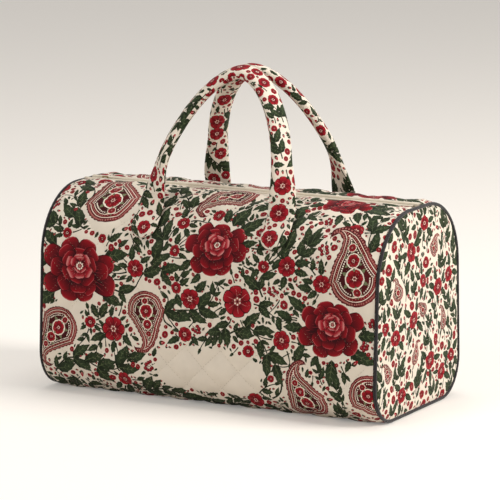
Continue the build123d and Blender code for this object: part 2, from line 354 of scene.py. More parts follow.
PEONY_ROW_SHARES = (
    (8, 1.17, 0.55, 0.00, "petal", 4, 0.050),
    (8, 0.87, 0.47, 0.03, "petal", 4, 0.055),
    (6, 0.58, 0.42, 0.09, "petal", 4, 0.060),
    (6, 0.43, 0.32, 0.13, "cup", 4, 0.060),
    (5, 0.28, 0.24, 0.17, "cup", 2, 0.060),
)
PEONY_ROW_TURN = 0.37
PEONY_DRIFT_SHARE = 0.35
PEONY_SQUAT_SHARE = 0.30
PEONY_STRAY_SHARE = 0.13
PEONY_LENGTH_SHARES = (0.93, 1.06)
PEONY_WIDTH_SHARES = (0.92, 1.10)
PEONY_WAIST_SHARE = 0.34
PEONY_COATS_SHARES = (("bloom_rim", 0.985, 1.08), ("petal_rim", 1.0, 0.93), (None, 0.970, 1.0))
PEONY_VEIN_SHARES = (-0.24, -0.08, 0.08, 0.24)
PEONY_VEIN_WIDTH_SHARES = (0.028, 0.006)
PEONY_VEIN_RUN_SHARES = (0.30, 0.60, 0.86)
PEONY_VEIN_PULL_SHARES = (0.0, 0.0, 0.4)
PEONY_VEIN_SPREAD_SHARES = (0.45, 1.0, 1.4)
PEONY_EYE_SHARE = 0.10
PEONY_SEED_SHARE = 0.024
PEONY_PIP_SHARE = 0.04
PEONY_HEART_SHARES = (0.05, 0.14)
PEONY_SEED_RING_SHARES = (0.085, 0.075)
PEONY_CLAIM_SHARE = 0.95


def peony_vein(way):
    runs = np.array(PEONY_VEIN_RUN_SHARES) - abs(way) * np.array(PEONY_VEIN_PULL_SHARES)
    points = np.stack([runs, way * np.array(PEONY_VEIN_SPREAD_SHARES)], 1)
    return stroke_points(points, *PEONY_VEIN_WIDTH_SHARES)


def paint_peony(cloth, at, radius, turn):
    rng = cloth.rng
    for row, (count, reach, wide, rise, ink, lobes, ruffle) in enumerate(PEONY_ROW_SHARES):
        heart = (at[0] + radius * rise * PEONY_DRIFT_SHARE, at[1] + radius * rise)
        start = turn + row * PEONY_ROW_TURN
        points = petal_points(30, lobes, ruffle, PEONY_WAIST_SHARE, 1.0)
        for petal in sorted(range(count), key=lambda petal: -math.sin(start + TURN * petal / count)):
            angle = start + TURN * (petal + rng.uniform(-PEONY_STRAY_SHARE, PEONY_STRAY_SHARE)) / count
            squat = 1.0 - PEONY_SQUAT_SHARE * math.sin(angle) ** 2
            length = radius * reach * squat * rng.uniform(*PEONY_LENGTH_SHARES)
            width = radius * wide * rng.uniform(*PEONY_WIDTH_SHARES)
            for coat, long_share, wide_share in PEONY_COATS_SHARES:
                size = (length * long_share, width * wide_share)
                cloth.paint(points, coat or ink, BLOOMS, heart, angle, *size)
            for way in PEONY_VEIN_SHARES:
                vein = "blush" if ink == "cup" else "petal_vein"
                cloth.paint(peony_vein(way), vein, BLOOMS, heart, angle, length, width)
    heart = tuple(place + radius * share for place, share in zip(at, PEONY_HEART_SHARES))
    paint_disc(cloth, heart, radius * PEONY_EYE_SHARE, "cup_rim", 12)
    for tip in ring(9) * PEONY_SEED_RING_SHARES * radius + heart:
        paint_disc(cloth, tuple(tip), radius * PEONY_SEED_SHARE, "pale", 6)
    paint_disc(cloth, heart, radius * PEONY_PIP_SHARE, "dusty", 8)
    cloth.claim(at, radius * PEONY_CLAIM_SHARE)


# Berries and buds

BERRY_START_SHARE = 0.30
BERRY_SIDE_SHARES = (0.16, 0.30)
BERRY_FORK_SHARE = 0.72
BERRY_SIZES = (2.0, 3.0)
BERRY_GLINT_SHARES = (0.3, 0.28)
BERRY_CLEARANCE = 0.4
BERRY_STALK = (0.55, 0.45)
BERRY_STEM = (0.8, 0.5)
BERRY_STEM_SHARE = 0.95
BUD_SHARES = ((12, "bloom", 1.0, 0.62), (8, "blush", 0.7, 0.2))
BUD_WAIST_SHARE = -0.45
BUD_LEAF_SHARES = (0.6, 0.25)
BUD_LEAF_LEAN = 0.5
BUD_CLAIM_SHARES = (0.5, 0.45)


def paint_berries(cloth, at, reach, angle, count):
    rng = cloth.rng
    for berry in range(count):
        along = reach * (BERRY_START_SHARE + (1 - BERRY_START_SHARE) * berry / max(count - 1, 1))
        side = (1 if berry % 2 else -1) * reach * rng.uniform(*BERRY_SIDE_SHARES) * (berry < count - 1)
        tip = ahead(ahead(at, angle, along), angle + math.pi / 2, side)
        paint_stroke(cloth, [ahead(at, angle, along * BERRY_FORK_SHARE), tip], *BERRY_STALK)
        size = rng.uniform(*BERRY_SIZES)
        shift, glint = (share * size for share in BERRY_GLINT_SHARES)
        paint_disc(cloth, tip, size, "berry")
        paint_disc(cloth, (tip[0] - shift, tip[1] + shift), glint, "petal_rim", 6)
        cloth.claim(tip, size + BERRY_CLEARANCE)
    paint_stroke(cloth, [at, ahead(at, angle, reach * BERRY_STEM_SHARE)], *BERRY_STEM)


def paint_bud(cloth, at, length, angle):
    for count, ink, long_share, wide_share in BUD_SHARES:
        points = petal_points(count, 2, 0.0, BUD_WAIST_SHARE)
        cloth.paint(points, ink, BLOOMS, at, angle, length * long_share, length * wide_share)
    for lean in (BUD_LEAF_LEAN, -BUD_LEAF_LEAN):
        size = [length * share for share in BUD_LEAF_SHARES]
        cloth.paint(leaf_points(1), "leaf", BLOOMS, at, angle + lean, *size)
    middle, radius = (length * share for share in BUD_CLAIM_SHARES)
    cloth.claim(ahead(at, angle, middle), radius)


# Paisleys: bands inside one another round a hooked spine, as shares of the spine's length

BOTEH_STEPS = 160
BOTEH_ROWS = 56
BOTEH_ROW_POWER = 1.5
BOTEH_BEND = 0.8
BEND_START_SHARE = 0.25
HOOK = 15.0
HOOK_POWER = 1.5
HOOK_START_SHARE = 0.45
BOTEH_WIDTH_SHARE = 0.27
BOTEH_TAPER = 1.5
BOTEH_TIP_SHARE = 0.024
BOTEH_TIP_POWER = 0.4
SCALLOP_SHARE = 0.008
SCALLOP_RATE = 190.0
BOTEH_BAND_SHARES = (
    (0.0, 1.0, "brick"),
    (0.044, 0.985, "pale"),
    (0.052, 0.98, "crimson"),
    (0.082, 0.95, "pale"),
    (0.090, 0.93, "wine"),
)
BOTEH_DOT_SHARES = (
    (0.022, 0.9, 0.034, 0.010, "dusty"),
    (0.067, 0.9, 0.034, 0.007, "dusty"),
    (0.112, 0.72, 0.05, 0.008, "pale"),
)
BOTEH_FLOWER_SHARES = ((0.27, 0.092, 6), (0.44, 0.066, 6), (0.135, 0.040, 5), (0.565, 0.040, 5))
BOTEH_LEAF_SHARES = (0.8, 0.85, 0.42)
BOTEH_LEAF_TURN = 0.5
BOTEH_HALO_SHARE = 1.12
BOTEH_CLEARANCE = 0.8
LEAST_BAND = 0.1


def boteh_spine(length, curl):
    heading = math.pi / 2
    spots = [(0.0, 0.0)]
    for share in np.arange(BOTEH_STEPS) / BOTEH_STEPS:
        hook = max(0.0, (share - HOOK_START_SHARE) / (1 - HOOK_START_SHARE))
        heading += curl * (BOTEH_BEND * (share - BEND_START_SHARE) + HOOK * hook ** HOOK_POWER) / BOTEH_STEPS
        spots.append(ahead(spots[-1], heading, length / BOTEH_STEPS))
    shares = np.linspace(0, 1, BOTEH_ROWS) ** BOTEH_ROW_POWER
    return rows_at(shares, np.linspace(0, 1, BOTEH_STEPS + 1), np.array(spots)), shares


def round_share(share):
    return np.sqrt(np.maximum(1 - (1 - np.minimum(share, 1)) ** 2, 0))


def paint_boteh(cloth, at, length, angle, curl):
    spine, share = boteh_spine(length, curl)
    width = BOTEH_WIDTH_SHARE
    left = np.clip(1 - share, 0, 1)
    taper = np.where(share > width, (left / (1 - width)) ** BOTEH_TAPER, 1.0)
    tip = BOTEH_TIP_SHARE * left ** BOTEH_TIP_POWER * (share > width)
    half = length * (width * round_share(share / width) * taper + tip)
    side = sides_of(spine)

    def outline(inset, last):
        keep = (share >= inset) & (share <= last)
        bulb = (width - inset) * length * round_share((share - inset) / (width - inset))
        reach = np.maximum(np.where(share < width, bulb, half - inset * length), LEAST_BAND)[keep]
        if inset == 0.0:
            reach = reach + SCALLOP_SHARE * length * np.cos(share[keep] * SCALLOP_RATE)
        offset = side[keep] * reach[:, None]
        return np.concatenate([spine[keep] + offset, (spine[keep] - offset)[::-1]])

    def placed(points):
        return points @ spin(angle) + np.array(at)

    for inset, last, ink in BOTEH_BAND_SHARES:
        cloth.paint(outline(inset, last) @ spin(angle), ink, BLOOMS, at)
    for inset, last, gap, size, ink in BOTEH_DOT_SHARES:
        for spot in placed(edge_points(outline(inset, last), gap * length)):
            paint_disc(cloth, spot, size * length, ink, 6)
    for place, size, petals in BOTEH_FLOWER_SHARES:
        heart = tuple(placed(rows_at(place, share, spine)))
        radius = size * length
        root, long, wide = (radius * part for part in BOTEH_LEAF_SHARES)
        for leaf in range(6):
            way = angle + leaf * TURN / 6 + BOTEH_LEAF_TURN
            cloth.paint(leaf_points(2), "sage", BLOOMS, ahead(heart, way, root), way, long, wide)
        paint_disc(cloth, heart, radius * BOTEH_HALO_SHARE, "pale", 12)
        paint_flower(cloth, heart, radius, angle, petals)
    for spot, reach in list(zip(placed(spine), half))[::3]:
        cloth.claim(spot, reach + BOTEH_CLEARANCE)


# Vines that grow until they meet something

VINE_STEP = 2.5
VINE_LEAF = 22.0
VINE_SWAY = 0.060
VINE_BACK_SHARE = 1.3
VINE_TURN_SHARES = (0.35, 0.65)
VINE_ROOM = 0.8
VINE_CLEARANCE = 1.1
VINE_THICK_SHARE = 0.095
VINE_THIN_SHARE = 0.55
VINE_GAP_SHARE = 0.42
VINE_LEANS = (0.55, 0.95)
VINE_TRY_SHARES = (1.1, 0.8, 0.55)
VINE_LENGTH_SHARES = (0.85, 1.1)
VINE_BEND_SHARE = 0.22
END_LOOK = 7.0
FLOWER_ROOM = 6.0
BUD_ROOM = 3.0
END_FLOWER_SHARES = (0.36, 0.5)
END_BUD_SHARES = (1.8, 0.4)
END_LEAF_SHARE = 0.45


def heading_between(a, b):
    return math.atan2(b[1] - a[1], b[0] - a[0])


def vine_spots(cloth, at, heading, reach):
    rng = cloth.rng
    low_x, high_x, low_y, high_y = cloth.bounds
    swing = rng.choice((-1, 1)) * VINE_SWAY
    turn_at = rng.uniform(*VINE_TURN_SHARES)
    spots = [at]
    count = int(reach / VINE_STEP)
    for i in range(count):
        heading += swing if i < count * turn_at else -swing * VINE_BACK_SHARE
        spot = ahead(spots[-1], heading, VINE_STEP)
        inside = low_x < spot[0] < high_x and low_y < spot[1] < high_y
        if not inside or (i > 1 and cloth.room(spot) < VINE_ROOM):
            break
        spots.append(spot)
    return spots


def grow_vine(cloth, at, heading, reach, leaf=VINE_LEAF):
    rng = cloth.rng
    spots = vine_spots(cloth, at, heading, reach)
    if len(spots) < 4:
        return
    thick = VINE_THICK_SHARE * leaf
    paint_stroke(cloth, spots, thick, thick * VINE_THIN_SHARE)
    gap = max(int(leaf * VINE_GAP_SHARE / VINE_STEP), 1)
    for i in range(gap, len(spots) - 1, gap):
        run = heading_between(spots[i - 1], spots[i])
        for side in (1, -1):
            angle = run + side * rng.uniform(*VINE_LEANS)
            lengths = (leaf * share * rng.uniform(*VINE_LENGTH_SHARES) for share in VINE_TRY_SHARES)
            paint_first_fit(cloth, spots[i], lengths, angle, -VINE_BEND_SHARE * side)
    end_vine(cloth, spots[-1], heading_between(spots[-2], spots[-1]), leaf)
    for spot in spots[::2]:
        cloth.claim(spot, VINE_CLEARANCE)


def end_vine(cloth, end, way, leaf):
    rng = cloth.rng
    room = cloth.room(ahead(end, way, END_LOOK))
    if room > FLOWER_ROOM:
        size = min(room, rng.uniform(*END_FLOWER_SHARES) * leaf)
        paint_flower(cloth, ahead(end, way, size), size, rng.uniform(*ANY_TURN))
    elif room > BUD_ROOM:
        paint_bud(cloth, end, min(room * END_BUD_SHARES[0], leaf * END_BUD_SHARES[1]), way)
    else:
        paint_leaf(cloth, end, END_LEAF_SHARE * leaf, way)


def scatter_vines(cloth, tries, room, heading, reaches, leaf):
    rng = cloth.rng
    low_x, high_x, low_y, high_y = cloth.bounds
    for _ in range(tries):
        spot = (rng.uniform(low_x, high_x), rng.uniform(low_y, high_y))
        if cloth.room(spot) > room:
            grow_vine(cloth, spot, heading(rng), rng.uniform(*reaches), leaf)


# Sprigs, and small shapes that fill what room is left, the largest first

SPRIG_HEAD_SHARE = 0.3
SPRIG_BOW_SHARE = 0.12
SPRIG_STEM = (1.0, 0.6)
SPRIG_LEAF_SHARES = ((0.15, 1), (0.3, -1), (0.55, 1), (0.7, -1), (0.9, 1))
SPRIG_LENGTH_SHARES = (0.7, 0.95)
SPRIG_LEANS = (0.6, 1.0)
SPRIG_BUD_SHARE = 0.6
SPRIG_CLAIM_SHARE = 0.75
FILL_STEP_SHARE = 1.1
FILL_STRAY_SHARE = 0.5
FILL_BERRY_GAP = 2.5
FILL_BERRY_SHARE = 0.8
FILL_LEAF_SHARE = 1.3
FILL_SLACK_SHARE = 0.7
FILL_LARGE = (
    (13.0, ("sprig", "berries", "flower")),
    (10.0, ("berries", "flower", "sprig")),
    (8.0, ("flower", "flower", "berries", "pale_flower")),
    (6.2, ("flower", "flower", "leaf", "berries")),
    (4.8, ("flower", "leaf", "leaf", "bud")),
    (3.6, ("leaf", "flower", "flower")),
    (2.8, ("leaf", "bud", "flower")),
    (2.2, ("leaf", "bud")),
)
FILL_SMALL = (
    (8.0, ("flower", "sprig", "flower")),
    (6.0, ("flower", "flower", "sprig", "leaf")),
    (4.6, ("leaf", "flower", "bud")),
    (3.4, ("leaf", "bud", "flower")),
    (2.7, ("bud",)),
)


def paint_sprig(cloth, at, size, angle):
    rng = cloth.rng
    foot = ahead(at, angle, -size)
    head = ahead(at, angle, size * SPRIG_HEAD_SHARE)
    middle = ahead(at, angle + math.pi / 2, size * SPRIG_BOW_SHARE)
    paint_stroke(cloth, [foot, middle, head], *SPRIG_STEM)
    for share, way in SPRIG_LEAF_SHARES:
        root = (foot[0] + (head[0] - foot[0]) * share, foot[1] + (head[1] - foot[1]) * share)
        length = size * rng.uniform(*SPRIG_LENGTH_SHARES)
        paint_leaf(cloth, root, length, angle + way * rng.uniform(*SPRIG_LEANS))
    paint_bud(cloth, head, size * SPRIG_BUD_SHARE, angle)
    cloth.claim(at, size * SPRIG_CLAIM_SHARE)


def paint_filler(cloth, kind, at, size, angle):
    foot = ahead(at, angle, -size)
    if kind == "flower":
        paint_flower(cloth, at, size, angle, cloth.rng.choice((5, 6)))
    elif kind == "pale_flower":
        paint_flower(cloth, at, size, angle, 6, "pale", "crimson", "crimson")
    elif kind == "berries":
        paint_berries(cloth, foot, size * 2, angle, 4 + int(size / FILL_BERRY_GAP))
        cloth.claim(at, size * FILL_BERRY_SHARE)
    elif kind == "sprig":
        paint_sprig(cloth, at, size, angle)
    elif kind == "bud":
        paint_bud(cloth, foot, size * 2, angle)
    else:
        half = size * FILL_LEAF_SHARE
        root = ahead(at, angle, -half)
        if leaf_fits(cloth, root, half * 2, angle, FILL_SLACK_SHARE):
            paint_leaf(cloth, root, half * 2, angle)


def fill_print(cloth, sizes):
    rng = cloth.rng
    low_x, high_x, low_y, high_y = cloth.bounds
    for size, kinds in sizes:
        step = FILL_STEP_SHARE * size
        cells = [(x, y) for x in np.arange(low_x, high_x, step) for y in np.arange(low_y, high_y, step)]
        rng.shuffle(cells)
        for cell in cells:
            at = tuple(place + rng.uniform(-FILL_STRAY_SHARE, FILL_STRAY_SHARE) * step for place in cell)
            if cloth.room(at) >= size:
                angle = rng.uniform(0, TURN)
                paint_filler(cloth, rng.choice(kinds), at, size, angle)


# The section of the shell, by arc length from the zip edge to the base seam

def section_table():
    out = np.array((math.cos(SIDE_LEAN), math.sin(SIDE_LEAN)))
    up = np.array((-math.sin(SIDE_LEAN), math.cos(SIDE_LEAN)))
    corner = np.array((BAG_DEPTH / 2 - CORNER_RADIUS, CORNER_RADIUS))
    crown = np.array((ZIP_LAND, BAG_HEIGHT - CROWN_RADIUS))
    offset = corner + out * (CORNER_RADIUS - SHOULDER_RADIUS) - crown
    along = offset @ up
    reach = math.sqrt(along ** 2 - offset @ offset + (CROWN_RADIUS - SHOULDER_RADIUS) ** 2)
    offset = offset + up * (reach - along)
    crown_end = math.atan2(offset[1], offset[0])

    def arc(centre, radius, start, end, count):
        turn = np.linspace(start, end, count)
        normal = np.stack([np.cos(turn), np.sin(turn)], 1)
        return centre + radius * normal, normal

    parts = [
        (np.array([(PANEL_EDGE, BAG_HEIGHT)]), np.array([(0.0, 1.0)])),
        arc(crown, CROWN_RADIUS, math.pi / 2, crown_end, count=40),
        arc(crown + offset, SHOULDER_RADIUS, crown_end, SIDE_LEAN, count=240),
        arc(corner, CORNER_RADIUS, SIDE_LEAN, -math.pi / 2, count=160),
    ]
    spots, normals = (np.concatenate(rows) for rows in zip(*parts))
    return run_lengths(spots), spots, normals


ALONG, SPOTS, NORMALS = section_table()
SECTION = float(ALONG[-1])


def section_at(along):
    along = np.clip(along, 0, SECTION)
    return rows_at(along, ALONG, SPOTS), unit(rows_at(along, ALONG, NORMALS))


# Quilting: puffs between stitch lines, with puckers along the stitches

QUILT_HALF = PANEL_HALF - SEAM_MARGIN
COLUMNS = 2 * round(2 * QUILT_HALF / DIAMOND)
ROWS = 2 * round((SECTION - 2 * SEAM_MARGIN) / DIAMOND)
COLUMN_STEP = 2 * QUILT_HALF / COLUMNS
ROW_STEP = (SECTION - 2 * SEAM_MARGIN) / ROWS
PUCKER_RATES = (37.0, 41.0)
PUCKER_BENDS = (2.1, 1.7)
PUCKER_BEND_RATES = (5.0, 4.0)
PUCKER_FADE = 5.0
DIP_FADE = 9.0


def ridge_share(a, b):
    return np.abs(np.sin(math.pi * a) * np.sin(math.pi * b))


def stitch_pull(a, b):
    ridge = ridge_share(a, b)
    first = np.sin(a * PUCKER_RATES[0] + PUCKER_BENDS[0] * np.sin(b * PUCKER_BEND_RATES[0]))
    second = np.sin(b * PUCKER_RATES[1] + PUCKER_BENDS[1] * np.sin(a * PUCKER_BEND_RATES[1]))
    return PUCKER * np.exp(-ridge * PUCKER_FADE) * first * second - STITCH_DIP * np.exp(-ridge * DIP_FADE)


def drawn_puff(a, b):
    return PUFF * ridge_share(a, b) ** PUFF_POWER


def puff_height(a, b):
    return drawn_puff(a, b) + stitch_pull(a, b)


def quilt_cells(x, along):
    column = (x + QUILT_HALF) / COLUMN_STEP
    row = (along - SEAM_MARGIN) / ROW_STEP
    return (column + row) / 2, (column - row) / 2


def wall_rim(x, along):
    return np.minimum(np.minimum(PANEL_HALF - np.abs(x), along), SECTION - along)


RIPPLE_WAVES = (70, 190)
RIPPLE_COUNT = 7


def ripple(x, y, seed):
    rng = random.Random(seed)
    total = np.zeros_like(x)
    for _ in range(RIPPLE_COUNT):
        wave = rng.uniform(*RIPPLE_WAVES)
        angle = rng.uniform(0, math.pi)
        phase = rng.uniform(*ANY_WAY)
        across = x * math.cos(angle) + y * math.sin(angle)
        total += np.sin(across * TURN / wave + phase) * wave / RIPPLE_WAVES[1]
    return total / RIPPLE_COUNT


# New pieces

def new_piece(name, spots, faces):
    mesh = bpy.data.meshes.new(name)
    mesh.from_pydata(spots.tolist(), [], faces)
    mesh.shade_smooth()
    piece = bpy.data.objects.new(name, mesh)
    bpy.context.collection.objects.link(piece)
    return piece


def dress(piece, material, node):
    piece.data.materials.append(material)
    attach(piece, "bag")
    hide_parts(node)


# The quilted sheet, held along its stitches and blown up by its filling

SWATCH_STEP = 4.0
SWATCH_XS = np.linspace(-PANEL_HALF, PANEL_HALF, int(2 * PANEL_HALF / SWATCH_STEP) + 1)
SWATCH_VS = np.linspace(0, SECTION, int(SECTION / SWATCH_STEP) + 1)
SWATCH_HELD = SWATCH_STEP * 0.55
SWATCH_HEM = SEAM_MARGIN * 0.6
SWATCH_UNEVEN = 0.2
SWATCH_FRAMES = 20
SWATCH_LIMITS = (-0.5, 1.25 * PUFF)
FULL_PUFF_PERCENT = 92
LEAST_PUFF = 0.1
CLOTH_SETTINGS = {
    "quality": 4,
    "mass": 0.15,
    "tension_stiffness": 8,
    "compression_stiffness": 8,
    "shear_stiffness": 3,
    "bending_stiffness": 0.2,
    "vertex_group_mass": "stitched",
    "shrink_min": -0.006,
    "use_pressure": True,
    "uniform_pressure_force": 6.0,
}


def quilt_swatch():
    x, v = np.meshgrid(SWATCH_XS, SWATCH_VS, indexing="ij")
    a, b = quilt_cells(x, v)
    drawn = drawn_puff(a, b)
    off = np.minimum(np.abs(a - np.round(a)), np.abs(b - np.round(b))) * COLUMN_STEP * math.sqrt(2)
    held = (off < SWATCH_HELD) | (wall_rim(x, v) < SWATCH_HEM)
    height = drawn + SWATCH_UNEVEN * ripple(x * 3, v * 3, 3)
    rows = len(SWATCH_VS)
    corners = [i * rows + j for i in range(len(SWATCH_XS) - 1) for j in range(rows - 1)]
    faces = [(k, k + rows, k + rows + 1, k + 1) for k in corners]
    swatch = new_piece("quilt_swatch", np.stack([x, v, height], -1).reshape(-1, 3) * MM, faces)
    stitched = swatch.vertex_groups.new(name="stitched")
    stitched.add(np.flatnonzero(held.ravel()).tolist(), 1.0, "REPLACE")
    cloth = swatch.modifiers.new("cloth", "CLOTH").settings
    for setting, value in CLOTH_SETTINGS.items():
        setattr(cloth, setting, value)
    cloth.effector_weights.gravity = 0.0
    for step in range(1, SWATCH_FRAMES + 1):
        bpy.context.scene.frame_set(step)
    settled = swatch.evaluated_get(bpy.context.evaluated_depsgraph_get()).data
    place = np.empty(len(settled.vertices) * 3, np.float32)
    settled.vertices.foreach_get("co", place)
    height = place.reshape(-1, 3)[:, 2].reshape(x.shape) / MM
    mesh = swatch.data
    bpy.data.objects.remove(swatch)
    bpy.data.meshes.remove(mesh)
    bpy.context.scene.frame_set(1)
    full = max(np.percentile(height, FULL_PUFF_PERCENT), LEAST_PUFF)
    return np.clip(height * PUFF / full, *SWATCH_LIMITS)


SWATCH = quilt_swatch()


def grid_at(table, row, column):
    i = np.clip(row.astype(int), 0, table.shape[0] - 2)
    j = np.clip(column.astype(int), 0, table.shape[1] - 2)
    a, b = row - i, column - j
    if table.ndim > 2:
        a, b = a[:, None], b[:, None]
    low = table[i, j] * (1 - a) + table[i + 1, j] * a
    high = table[i, j + 1] * (1 - a) + table[i + 1, j + 1] * a
    return low * (1 - b) + high * b


def sample_swatch(x, along):
    row = (x - SWATCH_XS[0]) / (SWATCH_XS[1] - SWATCH_XS[0])
    column = along / (SWATCH_VS[1] - SWATCH_VS[0])
    return grid_at(SWATCH, np.clip(row, 0, len(SWATCH_XS) - 1), np.clip(column, 0, len(SWATCH_VS) - 1))


# Walls: the puffs flatten under the handle tails, and the cloth tucks in at its seams

TAIL_MARGIN = 5.0
TAIL_FADE = 7.0
TAIL_TOP_MARGIN = 14.0
TAIL_TOP_FADE = 12.0
TAIL_FLAT_SHARE = 0.6
WALL_SAG = 1.6
WALL_TUCK = 1.2
WALL_TUCK_FADE = 4.0


def under_tail(x, along):
    off = np.abs(np.abs(x) - HANDLE_SPACING / 2)
    across = smooth((TAIL_WIDTH / 2 + TAIL_MARGIN - off) / TAIL_FADE)
    above = smooth((along - TAIL_TOP_ALONG + TAIL_TOP_MARGIN) / TAIL_TOP_FADE)
    below = smooth((TAIL_TOP_ALONG + TAIL_LENGTH + TAIL_MARGIN - along) / TAIL_FADE)
    return across * above * below


def wall_height(x, along, seed):
    rim = wall_rim(x, along)
    lift = (sample_swatch(x, along) + stitch_pull(*quilt_cells(x, along))) * smooth(rim / PUFF_FADE)
    sag = WALL_SAG * ripple(x, along, seed) * smooth(rim / SAG_FADE)
    tuck = WALL_TUCK * (1 - smooth(rim / WALL_TUCK_FADE))
    return (lift + sag) * (1 - TAIL_FLAT_SHARE * under_tail(x, along)) - tuck


# Cloth meshes: one sheet whose facets follow the edges of the print

WEAVE_SPAN = 100.0
EDGE_MARGIN = 0.4
STITCH_SIDE = 1.3
THIN_SHARE = 0.55
ROW_GAP_SHARE = 0.87
MERGE = 0.02
KEY_SPREAD = 100003


def top_shapes(points, outlines):
    order = np.argsort(points[:, 0])
    xs = points[order, 0]
    top = np.full(len(points), -1)
    for number, outline in enumerate(outlines):
        low, high = outline.min(0), outline.max(0)
        near = order[np.searchsorted(xs, low[0]):np.searchsorted(xs, high[0])]
        near = near[(points[near, 1] > low[1]) & (points[near, 1] < high[1])]
        if not len(near):
            continue
        x, y = points[near, 0, None], points[near, 1, None]
        ax, ay = outline[:, 0], outline[:, 1]
        bx, by = np.roll(ax, -1), np.roll(ay, -1)
        crosses = (ay > y) != (by > y)
        slope = (bx - ax) / np.where(by == ay, 1e-9, by - ay)
        winds = np.where(crosses & (x < ax + (y - ay) * slope), np.where(by > ay, 1, -1), 0)
        top[near[winds.sum(axis=1) != 0]] = number
    return top


def thin_out(points, cell):
    keys = np.floor(points / cell).astype(int)
    _, first = np.unique(keys[:, 0] * KEY_SPREAD + keys[:, 1], return_index=True)
    return points[np.sort(first)]


def within(points, low, high):
    return ((points > low + EDGE_MARGIN) & (points < high - EDGE_MARGIN)).all(1)


def print_edges(outlines, low, high, edge_step):
    edges = [edge_points(outline, edge_step) for outline in outlines]
    owner = np.repeat(np.arange(len(outlines)), [len(points) for points in edges])
    edges = np.concatenate(edges)
    inside = within(edges, low, high)
    edges, owner = edges[inside], owner[inside]
    return thin_out(edges[top_shapes(edges, outlines) <= owner], edge_step * THIN_SHARE)


def sheet_rows(low, high, step, stitches):
    rows = np.arange(low[1] + step / 2, high[1], step * ROW_GAP_SHARE)
    columns = np.arange(low[0], high[0], step)
    lines = [np.array([(x + (step / 2 if j % 2 else 0), y) for j, y in enumerate(rows) for x in columns])]
    for start, end in stitches:
        length = np.linalg.norm(end - start)
        run = (end - start) / length
        row = start + run * np.arange(0, length, step)[:, None]
        beside = run[::-1] * (-STITCH_SIDE, STITCH_SIDE)
        lines += [row, row + beside, row - beside]
    lines = np.concatenate(lines)
    return lines[within(lines, low, high)]


def sheet_mesh(outline, points):
    corners = [Vector(point) for point in np.concatenate([outline, points])]
    result = delaunay_2d_cdt(corners, [], [list(range(len(outline)))], 0, MERGE, False)
    flat = np.array([tuple(spot) for spot in result[0]])
    triangles = np.array(result[2])
    triangles = triangles[top_shapes(flat[triangles].mean(1), [outline]) == 0]
    used, index = np.unique(triangles, return_inverse=True)
    return flat[used], index.reshape(triangles.shape)


def ink_colours(shapes, outlines, flat, triangles):
    tops = top_shapes(flat[triangles].mean(1), outlines)
    colours = np.empty((len(triangles), 3, 3))
    colours[:] = INK_STOPS["cloth"][0]
    order = np.argsort(tops, kind="stable")
    bounds = np.searchsorted(tops[order], np.arange(len(shapes) + 1))
    for number, (_, ink, at, angle, length, radial) in enumerate(shapes):
        mine = order[bounds[number]:bounds[number + 1]]
        if not len(mine):
            continue
        local = flat[triangles[mine]] - np.array(at)
        if radial:
            tone = np.linalg.norm(local, axis=-1) / length
        else:
            tone = (local[..., 0] * math.cos(angle) + local[..., 1] * math.sin(angle)) / length
        stops = INK_STOPS[ink]
        colours[mine] = rows_at(tone, np.linspace(0, 1, len(stops)), stops)
    return colours


def build_cloth(name, cloth, outline, step, place, edge_step, flip=False, stitches=()):
    shapes = cloth.shapes()
    outlines = [shape[0] for shape in shapes]
    outline = edge_points(np.asarray(outline, float), step)
    low, high = outline.min(0), outline.max(0)
    edges = print_edges(outlines, low, high, edge_step)
    rows = sheet_rows(low, high, step, stitches)
    flat, triangles = sheet_mesh(outline, thin_out(np.concatenate([edges, rows]), edge_step * THIN_SHARE))
    colours = ink_colours(shapes, outlines, flat, triangles)
    if flip:
        triangles, colours = triangles[:, ::-1], colours[:, ::-1]
    piece = new_piece(name, place(flat[:, 0], flat[:, 1]) * MM, triangles.tolist())
    mesh = piece.data
    ink = np.concatenate([colours.reshape(-1, 3), np.ones((len(triangles) * 3, 1))], 1)
    layer = mesh.color_attributes.new("ink", "FLOAT_COLOR", "CORNER")
    layer.data.foreach_set("color", ink.ravel().astype(np.float32))
    corners = flat[triangles]
    for label, uv in (("OFBake", (corners - low) / (high - low).max()), ("weave", corners / WEAVE_SPAN)):
        mesh.uv_layers.new(name=label).data.foreach_set("uv", uv.ravel().astype(np.float32))
    return piece


# Materials

SPECULAR = 0.18
WEAVE_DISTORTION = 0.6
WEAVE_DEPTH = 0.0003
BRUSH_DEPTH = 0.0002


def new_material(name, roughness, sheen=0.0, metallic=0.0):
    material = bpy.data.materials.new(name)
    material.use_nodes = True
    shader = material.node_tree.nodes["Principled BSDF"]
    looks = {"Roughness": roughness, "Metallic": metallic, "Sheen Weight": sheen}
    for socket, value in (looks | {"Specular IOR Level": SPECULAR}).items():
        shader.inputs[socket].default_value = value
    return material, material.node_tree, shader


def add_node(tree, kind, values=()):
    node = tree.nodes.new("ShaderNode" + kind)
    for socket, value in dict(values).items():
        node.inputs[socket].default_value = value
    return node


def join(tree, source, output, target, socket):
    tree.links.new(source.outputs[output], target.inputs[socket])


def add_bump(tree, shader, source, output, strength, depth):
    bump = add_node(tree, "Bump", {"Strength": strength, "Distance": depth})
    join(tree, source, output, bump, "Height")
    join(tree, bump, "Normal", shader, "Normal")


def add_ramp(tree, shader, source, output, colours, shares=(0.0, 1.0)):
    ramp = add_node(tree, "ValToRGB")
    for stop, colour, share in zip(ramp.color_ramp.elements, colours, shares):
        stop.position = share
        stop.color = (*linear(colour), 1)
    join(tree, source, output, ramp, "Fac")
    join(tree, ramp, "Color", shader, "Base Color")


def add_noise(tree, source, output, scale, detail):
    noise = add_node(tree, "TexNoise", {"Scale": scale, "Detail": detail})
    join(tree, source, output, noise, "Vector")
    return noise


